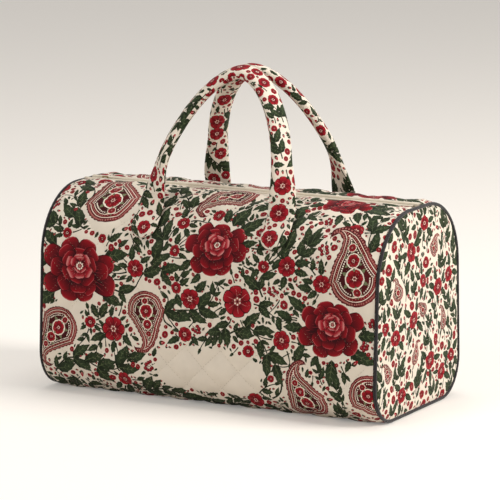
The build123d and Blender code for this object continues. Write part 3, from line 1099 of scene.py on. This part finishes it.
def add_weave(tree, shader, source, output, pitch, strength):
    weave = add_node(tree, "Math")
    weave.operation = "MAXIMUM"
    for socket, direction in enumerate(("X", "Y")):
        wave = add_node(tree, "TexWave", {"Scale": pitch, "Distortion": WEAVE_DISTORTION})
        wave.bands_direction = direction
        join(tree, source, output, wave, "Vector")
        join(tree, wave, "Fac", weave, socket)
    add_bump(tree, shader, weave, 0, strength, WEAVE_DEPTH)
    return weave


def printed_cotton():
    material, tree, shader = new_material("printed_cotton", roughness=0.85, sheen=0.03)
    source = add_node(tree, "UVMap")
    source.uv_map = "weave"
    add_weave(tree, shader, source, "UV", pitch=40.0, strength=0.3)
    ink = add_node(tree, "VertexColor")
    ink.layer_name = "ink"
    slub = add_noise(tree, source, "UV", scale=7.0, detail=6.0)
    shade = add_node(tree, "MapRange", {"To Min": 0.90, "To Max": 1.06})
    join(tree, slub, "Fac", shade, "Value")
    mix = add_node(tree, "Mix")
    mix.data_type = "RGBA"
    mix.blend_type = "MULTIPLY"
    mix.inputs["Factor"].default_value = 1.0
    join(tree, ink, "Color", mix, "A")
    join(tree, shade, "Result", mix, "B")
    join(tree, mix, "Result", shader, "Base Color")
    return material


def thread_cotton():
    material, tree, shader = new_material("quilting_thread", roughness=0.6, sheen=0.1)
    twist = add_node(tree, "TexWave", {"Scale": 900.0})
    twist.bands_direction = "DIAGONAL"
    join(tree, add_node(tree, "TexCoord"), "Object", twist, "Vector")
    add_ramp(tree, shader, twist, "Fac", ("8d7a68", "a8947f"))
    return material


def cord_cloth(name, low, high, pitch):
    material, tree, shader = new_material(name, roughness=0.7, sheen=0.25)
    source = add_node(tree, "TexCoord")
    weave = add_weave(tree, shader, source, "Object", pitch, strength=0.5)
    noise = add_noise(tree, source, "Object", scale=60.0, detail=5.0)
    mix = add_node(tree, "Math", {1: 0.5})
    mix.operation = "MULTIPLY_ADD"
    join(tree, weave, 0, mix, 0)
    join(tree, noise, "Fac", mix, 2)
    add_ramp(tree, shader, mix, 0, (low, high), shares=(0.35, 1.0))
    return material


def brushed(name, low, high, roughness, metallic, scale):
    material, tree, shader = new_material(name, roughness, 0.0, metallic)
    noise = add_noise(tree, add_node(tree, "TexCoord"), "Object", scale, detail=8.0)
    add_ramp(tree, shader, noise, "Fac", (low, high), shares=(0.3, 0.7))
    add_bump(tree, shader, noise, "Fac", strength=0.15, depth=BRUSH_DEPTH)
    return material


COTTON = printed_cotton()
THREAD = thread_cotton()
BLACK_COTTON = cord_cloth("piping_cotton", "0c0b0c", "242022", 900.0)
PALE_COTTON = cord_cloth("binding_cotton", "b5a892", "d8ccb8", 900.0)
FINISHES = {
    "zip_tape": cord_cloth("zip_tape", "a8987f", "cdbfa9", 1200.0),
    "zip_teeth": brushed("zip_teeth", "b09d80", "cdbda2", 0.4, 0.0, 400.0),
    "zip_metal": brushed("zip_metal", "8f7a4e", "b39b68", 0.32, 1.0, 500.0),
    "base_board": brushed("base_board", "4a4440", "5c554f", 0.8, 0.0, 250.0),
}


# Front and back: main blooms and paisleys listed, in millimetres, the rest grows round them

WALL_OVERRUN = 4.0
WALL_BOUNDS = (-PANEL_HALF - WALL_OVERRUN, PANEL_HALF + WALL_OVERRUN, -WALL_OVERRUN, SECTION + WALL_OVERRUN)
WALL_OUTLINE = [(-PANEL_HALF, 0), (PANEL_HALF, 0), (PANEL_HALF, SECTION), (-PANEL_HALF, SECTION)]
WALL_PEONIES = ((-182, 186, 50), (13, 230, 40), (177, 147, 42), (160, 325, 32))
WALL_TRUNKS = (
    (-84, 109, 22, 192, 14), (-128, 168, -58, 196, -10), (38, 128, 136, 104, 16), (226, 196, 224, 286, -8),
    (84, 178, 106, 246, 12), (-78, 205, -62, 292, -12), (-218, 52, -104, 88, 14), (62, 236, 140, 290, -12),
    (-178, 240, -206, 312, 12), (96, 52, 122, 112, -8), (-44, 128, -62, 172, 8), (-96, 34, 30, 30, 10),
)
WALL_BLOOMS = (
    (48, 169, 21), (-128, 118, 17), (-19, 166, 14), (115, 218, 13), (164, 201, 12), (111, 127, 13),
    (-98, 197, 12), (195, 272, 11), (-115, 53, 11), (-25, 121, 10), (70, 44, 12), (-39, 178, 8),
    (-44, 224, 8), (83, 215, 8), (-163, 123, 8), (-40, 260, 9), (4, 276, 9), (-202, 233, 7),
)
WALL_BOTEHS = (
    (-143, 252, 130, 0.30, -1), (28, 340, 104, 2.30, 1), (-86, 170, 96, 3.30, -1), (-192, 132, 100, 2.45, 1),
    (216, 178, 128, 0.25, 1), (156, 26, 100, 0.45, -1), (216, 92, 96, -2.6, -1),
)
BARE_PLACE = (8, 77, 72, 26)
BARE_STEP = 5.0
BARE_REACH = 4.5
SIX_PETALS_FROM = 10
TRUNK_POINTS = 40
TRUNK_WIDTHS = (2.4, 1.3)
TRUNK_GAP = 15.0
TRUNK_LEAVES = (30.0, 24.0, 18.0, 13.0)
TRUNK_LEAN = 0.75
TRUNK_BEND_SHARE = 0.3
TRUNK_CLEARANCE = 1.6
PEONY_LEAF = 36.0
BLOOM_LEAF = 12.0
BLOOM_LEAF_SHARE = 0.6
VINE_ROOT_SHARE = 1.1
VINES_A_BLOOM = 7
BLOOM_VINES = (35, 90)
LOOSE_VINES = (25, 70)
LOOSE_LEAF = 18.0
LOOSE_ROOM = 5.0
LOOSE_TRIES = 400


def leave_bare(cloth):
    middle_x, middle_y, half_x, half_y = BARE_PLACE
    for x in np.arange(middle_x - half_x, middle_x + half_x, BARE_STEP):
        for y in np.arange(middle_y - half_y, middle_y + half_y, BARE_STEP):
            if ((x - middle_x) / half_x) ** 2 + ((y - middle_y) / half_y) ** 4 < 1:
                cloth.claim((x, y), BARE_REACH)


def paint_trunk(cloth, start, end, bulge):
    share = np.linspace(0, 1, TRUNK_POINTS)[:, None]
    run = np.subtract(end, start)
    across = np.array((-run[1], run[0])) / np.linalg.norm(run)
    spots = np.array(start) + share * run + across * bulge * np.sin(TURN * share)
    paint_stroke(cloth, spots, *TRUNK_WIDTHS)
    gap = max(int(TRUNK_GAP / np.linalg.norm(run) * TRUNK_POINTS), 2)
    for i in range(gap // 2, TRUNK_POINTS - 1, gap):
        way = heading_between(spots[i - 1], spots[i + 1])
        for side in (1, -1):
            paint_first_fit(cloth, spots[i], TRUNK_LEAVES, way + side * TRUNK_LEAN, -TRUNK_BEND_SHARE * side)
    for spot in spots[::2]:
        cloth.claim(spot, TRUNK_CLEARANCE)


def wall_print(seed, mirror):
    cloth = Print(seed, WALL_BOUNDS)
    rng = cloth.rng
    if mirror > 0:
        leave_bare(cloth)
    peonies = [((mirror * x, y), radius) for x, y, radius in WALL_PEONIES]
    blooms = [((mirror * x, y), radius) for x, y, radius in WALL_BLOOMS]
    for at, radius in peonies:
        paint_peony(cloth, at, radius, rng.uniform(*ANY_TURN))
    for at, radius in blooms:
        paint_flower(cloth, at, radius, rng.uniform(*ANY_TURN), 6 if radius > SIX_PETALS_FROM else 5)
    for x, y, length, angle, curl in WALL_BOTEHS:
        paint_boteh(cloth, (mirror * x, y), length, mirror * angle, mirror * curl)
    for start_x, start_y, end_x, end_y, bulge in WALL_TRUNKS:
        paint_trunk(cloth, (mirror * start_x, start_y), (mirror * end_x, end_y), mirror * bulge)
    for at, radius in peonies:
        ring_of_leaves(cloth, at, radius, PEONY_LEAF, count=12)
    for at, radius in blooms:
        ring_of_leaves(cloth, at, radius, BLOOM_LEAF + BLOOM_LEAF_SHARE * radius, count=6)
    for at, radius in peonies + blooms:
        for _ in range(VINES_A_BLOOM):
            angle = rng.uniform(*ANY_WAY)
            grow_vine(cloth, ahead(at, angle, radius * VINE_ROOT_SHARE), angle, rng.uniform(*BLOOM_VINES))

    def anywhere(rng):
        return rng.uniform(*ANY_WAY)

    scatter_vines(cloth, LOOSE_TRIES, LOOSE_ROOM, anywhere, LOOSE_VINES, LOOSE_LEAF)
    fill_print(cloth, FILL_LARGE)
    return cloth


def wall_place(side, seed):
    def place(x, t):
        along = SECTION - t
        world_x = -side * x
        spot, normal = section_at(along)
        y, z = (spot + normal * wall_height(world_x, along, seed)[:, None]).T
        return np.stack([world_x, side * y, np.maximum(z, 0.0)], 1)
    return place


# Rows of stitches

STITCH_LENGTH = 3.0
STITCH_PITCH = 4.4
STITCH_START_SHARE = 0.2
THREAD_HALF = 0.2
LEAST_LINE_SHARE = 0.01


def diamond_lines(low, high, run_x, run_y, origin):
    lines = []
    span = high - low
    count = int(span[0] / run_x + span[1] / run_y) + 2
    for number in range(-count, count + 1):
        for way in (-1, 1):
            foot, head = (
                np.array((origin[0] + number * 2 * run_x + way * (y - origin[1]) * run_x / run_y, y))
                for y in (low[1], high[1])
            )
            run = head - foot
            shares = sorted(((low[0] - foot[0]) / run[0], (high[0] - foot[0]) / run[0]))
            first, last = max(shares[0], 0.0), min(shares[1], 1.0)
            if last - first > LEAST_LINE_SHARE:
                lines.append((foot + run * first, foot + run * last))
    return lines


def build_stitches(name, lines, place, inward):
    starts, runs = [], []
    for start, end in lines:
        length = np.linalg.norm(end - start)
        run = (end - start) / length
        count = int(length / STITCH_PITCH)
        starts.append(start + run * (np.arange(count)[:, None] + STITCH_START_SHARE) * STITCH_PITCH)
        runs.append(np.repeat(run[None], count, axis=0))
    starts, runs = np.concatenate(starts), np.concatenate(runs)
    sides = np.stack([-runs[:, 1], runs[:, 0]], 1) * THREAD_HALF
    ends = starts + runs * STITCH_LENGTH
    middles = (starts + ends) / 2
    corners = [place(*spot.T) for spot in (starts, middles - sides, ends, middles + sides)]
    up = unit(np.cross(corners[2] - corners[0], corners[3] - corners[1]) * inward)
    corners.append(place(*middles.T) + up * 2 * THREAD_HALF)
    feet = range(0, len(starts) * 5, 5)
    faces = [(foot + a, foot + (a + 1) % 4, foot + 4) for foot in feet for a in range(4)]
    piece = new_piece(name, np.stack(corners, 1).reshape(-1, 3) * MM, faces)
    piece.data.materials.append(THREAD)
    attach(piece, "bag")


WALL_STITCHES = diamond_lines(
    np.array((-QUILT_HALF, SEAM_MARGIN)),
    np.array((QUILT_HALF, SECTION - SEAM_MARGIN)),
    COLUMN_STEP, ROW_STEP, (-QUILT_HALF, SECTION - SEAM_MARGIN),
)
WALL_STEP = 3.4
WALL_EDGE_STEP = 1.6
WALLS = (("front", -1, 5, 11), ("back", 1, 6, 23))
for name, side, seed, _ in WALLS:
    build_stitches(name + "_stitches", WALL_STITCHES, wall_place(side, seed), 1)
for name, side, seed, print_seed in WALLS:
    wall = build_cloth(
        name + "_cloth", wall_print(print_seed, -side), WALL_OUTLINE, WALL_STEP, wall_place(side, seed),
        WALL_EDGE_STEP, stitches=WALL_STITCHES,
    )
    dress(wall, COTTON, name + "_panel")


# Ends: a smaller, denser print on a loaf-shaped panel

END_INSET = 3.6
END_BULGE = 3.5
END_BULGE_FADE = 90.0
END_PUFF_SHARE = 0.75
END_SAG = 1.2
END_TUCK = 1.6
END_TUCK_FADE = 5.0
END_SET_BACK = 1.0
END_STEP = 3.2
END_EDGE_STEP = 1.1
END_BOTEHS = (
    (-62, 150, 40, 0.3, 1), (30, 190, 38, -0.4, -1), (66, 92, 42, 0.2, 1),
    (-20, 62, 40, -0.2, -1), (-84, 52, 36, 0.4, 1), (10, 122, 34, 0.9, 1),
)
END_BLOOMS = (
    (-30, 205, 13), (45, 150, 12), (-25, 120, 12), (80, 160, 11), (25, 60, 13), (-70, 105, 11),
    (-50, 30, 11), (60, 40, 12), (10, 235, 10), (90, 55, 9), (-95, 120, 9), (0, 165, 9),
)
END_BLOOM_LEAF = 19.0
END_VINES = (30, 70)
END_VINE_LEAN = 0.4
END_VINE_LEAF = 18.0
END_VINE_ROOM = 3.0
END_VINE_TRIES = 300


def both_halves(half):
    return np.concatenate([half, half[::-1] * (-1, 1)])


END_OUTLINE = both_halves(np.concatenate([(SPOTS - NORMALS * END_INSET)[::6], [(BASE_HALF / 2, END_INSET)]]))
END_BOUNDS = (-BAG_DEPTH / 2, BAG_DEPTH / 2, 0.0, BAG_HEIGHT)


def end_print(seed):
    cloth = Print(seed, END_BOUNDS)
    for x, y, length, angle, curl in END_BOTEHS:
        paint_boteh(cloth, (x, y), length, angle, curl)
    for x, y, radius in END_BLOOMS:
        paint_flower(cloth, (x, y), radius, cloth.rng.uniform(*ANY_TURN))
        ring_of_leaves(cloth, (x, y), radius, END_BLOOM_LEAF, count=5)

    def upward(rng):
        return math.pi / 2 + rng.uniform(-END_VINE_LEAN, END_VINE_LEAN)

    scatter_vines(cloth, END_VINE_TRIES, END_VINE_ROOM, upward, END_VINES, END_VINE_LEAF)
    fill_print(cloth, FILL_SMALL)
    return cloth


def outline_room(points, outline):
    low = np.full(len(points), np.inf)
    for a, b in zip(outline, np.roll(outline, -1, axis=0)):
        run = b - a
        share = np.clip((points - a) @ run / max(run @ run, 1e-9), 0, 1)
        low = np.minimum(low, np.linalg.norm(points - a - share[:, None] * run, axis=1))
    return low


def end_place(side, seed):
    def place(u, z):
        rim = outline_room(np.stack([u, z], 1), END_OUTLINE)
        above = z - BAG_HEIGHT / 2
        puff = END_PUFF_SHARE * puff_height((u + above) / DIAMOND, (u - above) / DIAMOND)
        lift = puff * smooth(rim / PUFF_FADE) + END_BULGE * smooth(rim / END_BULGE_FADE)
        lift += END_SAG * ripple(u, z, seed) * smooth(rim / SAG_FADE)
        lift -= END_TUCK * (1 - smooth(rim / END_TUCK_FADE))
        return np.stack([side * (BAG_LENGTH / 2 - END_SET_BACK + lift), side * u, z], 1)
    return place


for side, name, seed in ((1, "right_end", 31), (-1, "left_end", 37)):
    place = end_place(side, seed)
    end = build_cloth(name + "_cloth", end_print(seed), END_OUTLINE, END_STEP, place, END_EDGE_STEP)
    dress(end, COTTON, name + "_panel")


# Base

BASE_BOUNDS = (-PANEL_HALF, PANEL_HALF, -BASE_HALF, BASE_HALF)
BASE_OUTLINE = np.array([(-1, -1), (1, -1), (1, 1), (-1, 1)]) * (PANEL_HALF, BASE_HALF)
BASE_PEONIES = (-150, 0, 150)
BASE_PEONY = 32
BASE_LEAF = 18.0
BASE_RISE = 0.6
BASE_TUCK = 2.6
BASE_TUCK_FADE = 6.0
BASE_STEP = 3.6
BASE_EDGE_STEP = 1.8


def base_print(seed):
    cloth = Print(seed, BASE_BOUNDS)
    for x in BASE_PEONIES:
        paint_peony(cloth, (x, 0), BASE_PEONY, cloth.rng.uniform(*ANY_TURN))
        ring_of_leaves(cloth, (x, 0), BASE_PEONY, BASE_LEAF, count=9)
    fill_print(cloth, FILL_LARGE)
    return cloth


def base_place(x, y):
    rim = np.minimum(PANEL_HALF - np.abs(x), BASE_HALF - np.abs(y))
    lift = puff_height((x + y) / DIAMOND, (x - y) / DIAMOND) * smooth(rim / PUFF_FADE)
    tuck = BASE_TUCK * (1 - smooth(rim / BASE_TUCK_FADE))
    return np.stack([x, -y, PUFF + BASE_RISE - lift - tuck], 1)


base = build_cloth("base_cloth", base_print(43), BASE_OUTLINE, BASE_STEP, base_place, BASE_EDGE_STEP)
dress(base, COTTON, "base_panel")


# Handles: padded straps with rounded tails, twisting into a rolled grip

RING = 96
PATH_POINTS = 400
TAIL_SHARES = (1.0, 0.5, 0.0)
NOSE_WIDTH_SHARE = 0.02
NOSE_THICK_SHARE = 0.35
NOSE_FADE = 6.0
STRAP_SQUARENESS = (0.7, 0.8)


def natural_curve(knots, count):
    knots = np.asarray(knots, float)
    chord = run_lengths(knots)
    gaps = np.diff(chord)
    size = len(knots)
    system = np.eye(size)
    right = np.zeros_like(knots)
    for i in range(1, size - 1):
        system[i, i - 1:i + 2] = gaps[i - 1], 2 * (gaps[i - 1] + gaps[i]), gaps[i]
        right[i] = 6 * ((knots[i + 1] - knots[i]) / gaps[i] - (knots[i] - knots[i - 1]) / gaps[i - 1])
    bend = np.linalg.solve(system, right)
    fine = np.linspace(0, chord[-1], count)
    cell = np.clip(np.searchsorted(chord, fine, side="right") - 1, 0, size - 2)
    gap = gaps[cell][:, None]
    low = (fine - chord[cell])[:, None]
    high = (chord[cell + 1] - fine)[:, None]
    curve = (bend[cell] * high ** 3 + bend[cell + 1] * low ** 3) / (6 * gap)
    curve += (knots[cell] / gap - bend[cell] * gap / 6) * high
    return curve + (knots[cell + 1] / gap - bend[cell + 1] * gap / 6) * low


def handle_path():
    half = HANDLE_SPACING / 2
    spots, normals = section_at(TAIL_TOP_ALONG + TAIL_LENGTH * np.array(TAIL_SHARES))
    right = [(half, y, z) for y, z in spots + normals * (TAIL_THICKNESS / 2 + TAIL_LIFT)]
    _, leave_y, leave_z = right[-1]
    top_y = HANDLE_TOPS_APART / 2
    for angle in np.radians(ARCH_ANGLES):
        climb = math.sin(angle)
        lean = (top_y - leave_y) * climb ** LEAN_POWER
        reach = half * math.cos(angle) ** ARCH_POWER
        right.append((reach, leave_y + lean, leave_z + (HANDLE_TOP - leave_z) * climb))
    left = [(-x, y, z) for x, y, z in reversed(right)]
    out = np.array((0.0, HANDLE_TOP - leave_z, leave_y - top_y))
    return natural_curve(right + [(0.0, top_y, HANDLE_TOP)] + left, PATH_POINTS), unit(out)


def strap_section(width, thick):
    turn = np.linspace(0, TURN, 4 * RING + 1)
    wave = np.stack([np.cos(turn), np.sin(turn)], 1)
    loop = np.sign(wave) * np.abs(wave) ** STRAP_SQUARENESS * (width / 2, thick / 2)
    lap = run_lengths(loop)
    return rows_at(np.linspace(0, lap[-1], RING + 1), lap, loop)


def handle_rings():
    path, lean_out = handle_path()
    along = run_lengths(path)
    rings = []
    for i, spot in enumerate(path):
        run = unit(path[min(i + 1, len(path) - 1)] - path[max(i - 1, 0)])
        near = min(along[i], along[-1] - along[i])
        ease = smooth((near - TAIL_LENGTH) / GRIP_BLEND)
        nose = max(1 - 2 * near / TAIL_WIDTH, 0.0)
        blunt = max(math.sqrt(max(1 - nose ** 2, 0.0)), NOSE_WIDTH_SHARE)
        width = (TAIL_WIDTH + (GRIP_WIDTH - TAIL_WIDTH) * ease) * blunt
        full = NOSE_THICK_SHARE + (1 - NOSE_THICK_SHARE) * smooth(near / NOSE_FADE)
        thick = (TAIL_THICKNESS + (GRIP_THICKNESS - TAIL_THICKNESS) * ease) * full
        flat_out = unit(lean_out - run * (lean_out @ run))
        twist = GRIP_TWIST * ease
        out = flat_out * math.cos(twist) + np.cross(flat_out, run) * math.sin(twist)
        rings.append(spot + strap_section(width, thick) @ np.array((np.cross(run, out), out)))
    return np.array(rings), along


RINGS, STRAP_ALONG = handle_rings()
STRAP_LENGTH = float(STRAP_ALONG[-1])
STRAP_CLOTH = 2 * TAIL_WIDTH
STRAP_OUTLINE = [(0, 0), (STRAP_LENGTH, 0), (STRAP_LENGTH, STRAP_CLOTH), (0, STRAP_CLOTH)]
STRAP_BOUNDS = (0, STRAP_LENGTH, 0, STRAP_CLOTH)
STRAP_FIRST = 14.0
STRAP_LAST = 10.0
STRAP_GAPS = (28, 40)
STRAP_STRAY = (6, 7)
STRAP_FLOWERS = (8, 13)
STRAP_FLOWER_SHARE = 0.75
STRAP_VINES = (30, 60)
STRAP_VINE_LEAN = 0.5
STRAP_VINE_LEAF = 19.0
STRAP_VINE_ROOM = 3.5
STRAP_VINE_TRIES = 120
STRAP_STEP = 2.6
STRAP_EDGE_STEP = 1.4
TAIL_SEAM = 4.5
TAIL_SEAM_END = TAIL_LENGTH + 26.0


def strap_print(seed):
    cloth = Print(seed, STRAP_BOUNDS)
    rng = cloth.rng
    spot = STRAP_FIRST
    while spot < STRAP_LENGTH - STRAP_LAST:
        for middle in (STRAP_CLOTH / 4, 3 * STRAP_CLOTH / 4):
            if rng.random() < STRAP_FLOWER_SHARE:
                strays = [rng.uniform(-stray, stray) for stray in STRAP_STRAY]
                at = (spot + strays[0], middle + strays[1])
                radius = rng.uniform(*STRAP_FLOWERS)
                paint_flower(cloth, at, radius, rng.uniform(*ANY_TURN))
        spot += rng.uniform(*STRAP_GAPS)

    def lengthways(rng):
        return rng.choice((0, math.pi)) + rng.uniform(-STRAP_VINE_LEAN, STRAP_VINE_LEAN)

    scatter_vines(cloth, STRAP_VINE_TRIES, STRAP_VINE_ROOM, lengthways, STRAP_VINES, STRAP_VINE_LEAF)
    fill_print(cloth, FILL_SMALL)
    return cloth


def strap_place(side):
    def place(s, w):
        row = np.interp(s, STRAP_ALONG, np.arange(len(STRAP_ALONG)))
        return grid_at(RINGS, row, w / STRAP_CLOTH * RING) * (1, side, 1)
    return place


def tail_lines():
    face = STRAP_CLOTH / 2
    lines = []
    for foot, head in ((TAIL_SEAM, TAIL_SEAM_END), (STRAP_LENGTH - TAIL_SEAM, STRAP_LENGTH - TAIL_SEAM_END)):
        for across in (TAIL_SEAM, face - TAIL_SEAM):
            lines.append((np.array((foot, across)), np.array((head, across))))
        for along in (foot, head):
            lines.append((np.array((along, TAIL_SEAM)), np.array((along, face - TAIL_SEAM))))
    return lines


HANDLES = ((-1, "front_handle", 51), (1, "back_handle", 59))
for side, name, seed in HANDLES:
    place = strap_place(side)
    cloth = strap_print(seed)
    strap = build_cloth(name + "_cloth", cloth, STRAP_OUTLINE, STRAP_STEP, place, STRAP_EDGE_STEP, side < 0)
    dress(strap, COTTON, name)
for side, name, _ in HANDLES:
    build_stitches(name + "_stitches", tail_lines(), strap_place(side), side)


# Piping and zip bindings, swept

PIPING_VISUAL = 2.1
PIPING_UNEVEN_SHARE = 0.03
PIPING_RATE = 1.7
PIPING_SIDES = 14
PIPING_BASE_POINTS = 9
BINDING_POINTS = 160
BINDING_SWAYS = (0.15, 0.12)
BINDING_RATES = (0.31, 0.47)
BINDING_FOLD = (
    (1.3, -5.6), (-0.5, -5.4), (-1.0, -4.0), (-1.0, -1.4), (-0.5, 0.3), (0.7, 1.1),
    (2.5, 1.5), (4.7, 1.4), (6.0, 0.7), (6.1, 0.0), (2.1, -0.4),
)


def sweep(name, rings, closed):
    count, sides = rings.shape[:2]
    faces = []
    for i in range(count if closed else count - 1):
        here, after = i * sides, (i + 1) % count * sides
        for j in range(sides):
            k = (j + 1) % sides
            faces.append((here + j, here + k, after + k, after + j))
    return new_piece(name, rings.reshape(-1, 3) * MM, faces)


def piping_rings(side):
    inset = PIPING / 2
    under = [(y, inset) for y in np.linspace(BASE_HALF, 0, PIPING_BASE_POINTS)[1:-1]]
    loop = both_halves(np.concatenate([(SPOTS - NORMALS * inset)[::4], under]))
    run = unit(np.roll(loop, -1, axis=0) - np.roll(loop, 1, axis=0))
    radius = PIPING_VISUAL * (1.0 + PIPING_UNEVEN_SHARE * np.sin(np.arange(len(loop)) * PIPING_RATE))
    cosine, sine = (radius[:, None] * wave for wave in ring(PIPING_SIDES).T)
    x = side * (BAG_LENGTH / 2 - inset + sine)
    return np.stack([x, loop[:, :1] - run[:, 1:] * cosine, loop[:, 1:] + run[:, :1] * cosine], -1)


def binding_rings(side):
    xs = np.linspace(-PANEL_HALF, PANEL_HALF, BINDING_POINTS)[:, None]
    out, up = (np.array(BINDING_FOLD) + (PANEL_EDGE, BAG_HEIGHT)).T
    y = side * (out + BINDING_SWAYS[0] * np.sin(xs * BINDING_RATES[0]))
    z = up + BINDING_SWAYS[1] * np.sin(xs * BINDING_RATES[1] + side)
    return np.stack([np.broadcast_to(xs, y.shape), y, z], -1)


for side, name in ((1, "right_piping"), (-1, "left_piping")):
    dress(sweep(name + "_cord", piping_rings(side), True), BLACK_COTTON, name)
for side, name in ((-1, "front_zip_binding"), (1, "back_zip_binding")):
    dress(sweep(name + "_fold", binding_rings(side), False), PALE_COTTON, name)


# Zip and base board: the solids stay, with their own materials

CARRIED = {
    "zip_tape": ("front_zip_tape", "back_zip_tape"),
    "zip_metal": ("front_closed_stop", "back_closed_stop", "open_stop", "zip_slider", "zip_pull"),
    "base_board": ("base_board",),
}
for finish, nodes in CARRIED.items():
    for node in nodes:
        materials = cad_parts[node].data.materials
        materials.clear()
        materials.append(FINISHES[finish])


# Rows of teeth: copies of the solid rows, in the teeth finish


def teeth_row(node):
    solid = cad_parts[node]
    mesh = solid.data.copy()
    mesh.transform(solid.matrix_world)
    mesh.materials.clear()
    row = bpy.data.objects.new(node + "_row", mesh)
    bpy.context.collection.objects.link(row)
    dress(row, FINISHES["zip_teeth"], node)
    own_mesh(row)


teeth_row("front_zip_teeth")
teeth_row("back_zip_teeth")


# Stage, lights and camera, in metres and watts

FLOOR_HALF = 40.0
FLOOR_COLOUR = (0.74, 0.70, 0.65, 1)
FLOOR_GLOW_COLOUR = (1.0, 0.97, 0.93, 1)
FLOOR_GLOW = 0.2
LIGHTS = (
    ("window", (3.2, 0.6, 1.9), (0, 0, 0.15), 1.6, 132, (1.0, 0.98, 0.95)),
    ("front_fill", (-1.2, -3.4, 2.2), (0, 0, 0.15), 1.8, 49, (1.0, 0.98, 0.96)),
    ("top", (0.0, 0.4, 3.4), (0, 0, 0.1), 1.8, 40, (1.0, 0.99, 0.97)),
)
SKY = {"Color": (1.0, 0.98, 0.95, 1), "Strength": 0.42}
CAMERA_SPOT = (1.9242, -3.5024, 0.9076)
CAMERA_YAW = math.radians(28.766)
CAMERA_PITCH = math.radians(10.293)
CAMERA_LENS = 231.5
CAMERA_SENSOR = 36.0
CAMERA_END = 50.0


def stage():
    corners = np.array([(-1, -1, 0), (1, -1, 0), (1, 1, 0), (-1, 1, 0)]) * FLOOR_HALF
    floor = new_piece("floor", corners, [(0, 1, 2, 3)])
    material, tree, shader = new_material("pale_floor", roughness=0.7)
    shader.inputs["Base Color"].default_value = FLOOR_COLOUR
    shader.inputs["Emission Color"].default_value = FLOOR_GLOW_COLOUR
    glow = add_node(tree, "Math", {1: FLOOR_GLOW})
    glow.operation = "MULTIPLY"
    join(tree, add_node(tree, "LightPath"), "Is Camera Ray", glow, 0)
    join(tree, glow, 0, shader, "Emission Strength")
    floor.data.materials.append(material)


def add_light(name, spot, target, size, power, colour):
    light = bpy.data.lights.new(name, "AREA")
    light.size = size
    light.energy = power
    light.color = colour
    lamp = bpy.data.objects.new(name, light)
    lamp.location = spot
    lamp.rotation_euler = (Vector(target) - Vector(spot)).to_track_quat("-Z", "Y").to_euler()
    bpy.context.collection.objects.link(lamp)


def camera():
    lens = bpy.data.cameras.new("camera")
    lens.lens = CAMERA_LENS
    lens.sensor_width = CAMERA_SENSOR
    lens.clip_end = CAMERA_END
    view = bpy.data.objects.new("camera", lens)
    view.location = CAMERA_SPOT
    view.rotation_euler = (math.pi / 2 - CAMERA_PITCH, 0, CAMERA_YAW)
    bpy.context.collection.objects.link(view)
    bpy.context.scene.camera = view


stage()
for light in LIGHTS:
    add_light(*light)
world = bpy.data.worlds.new("world")
bpy.context.scene.world = world
world.use_nodes = True
for socket, value in SKY.items():
    world.node_tree.nodes["Background"].inputs[socket].default_value = value
bpy.context.scene.view_settings.view_transform = "Standard"
camera()
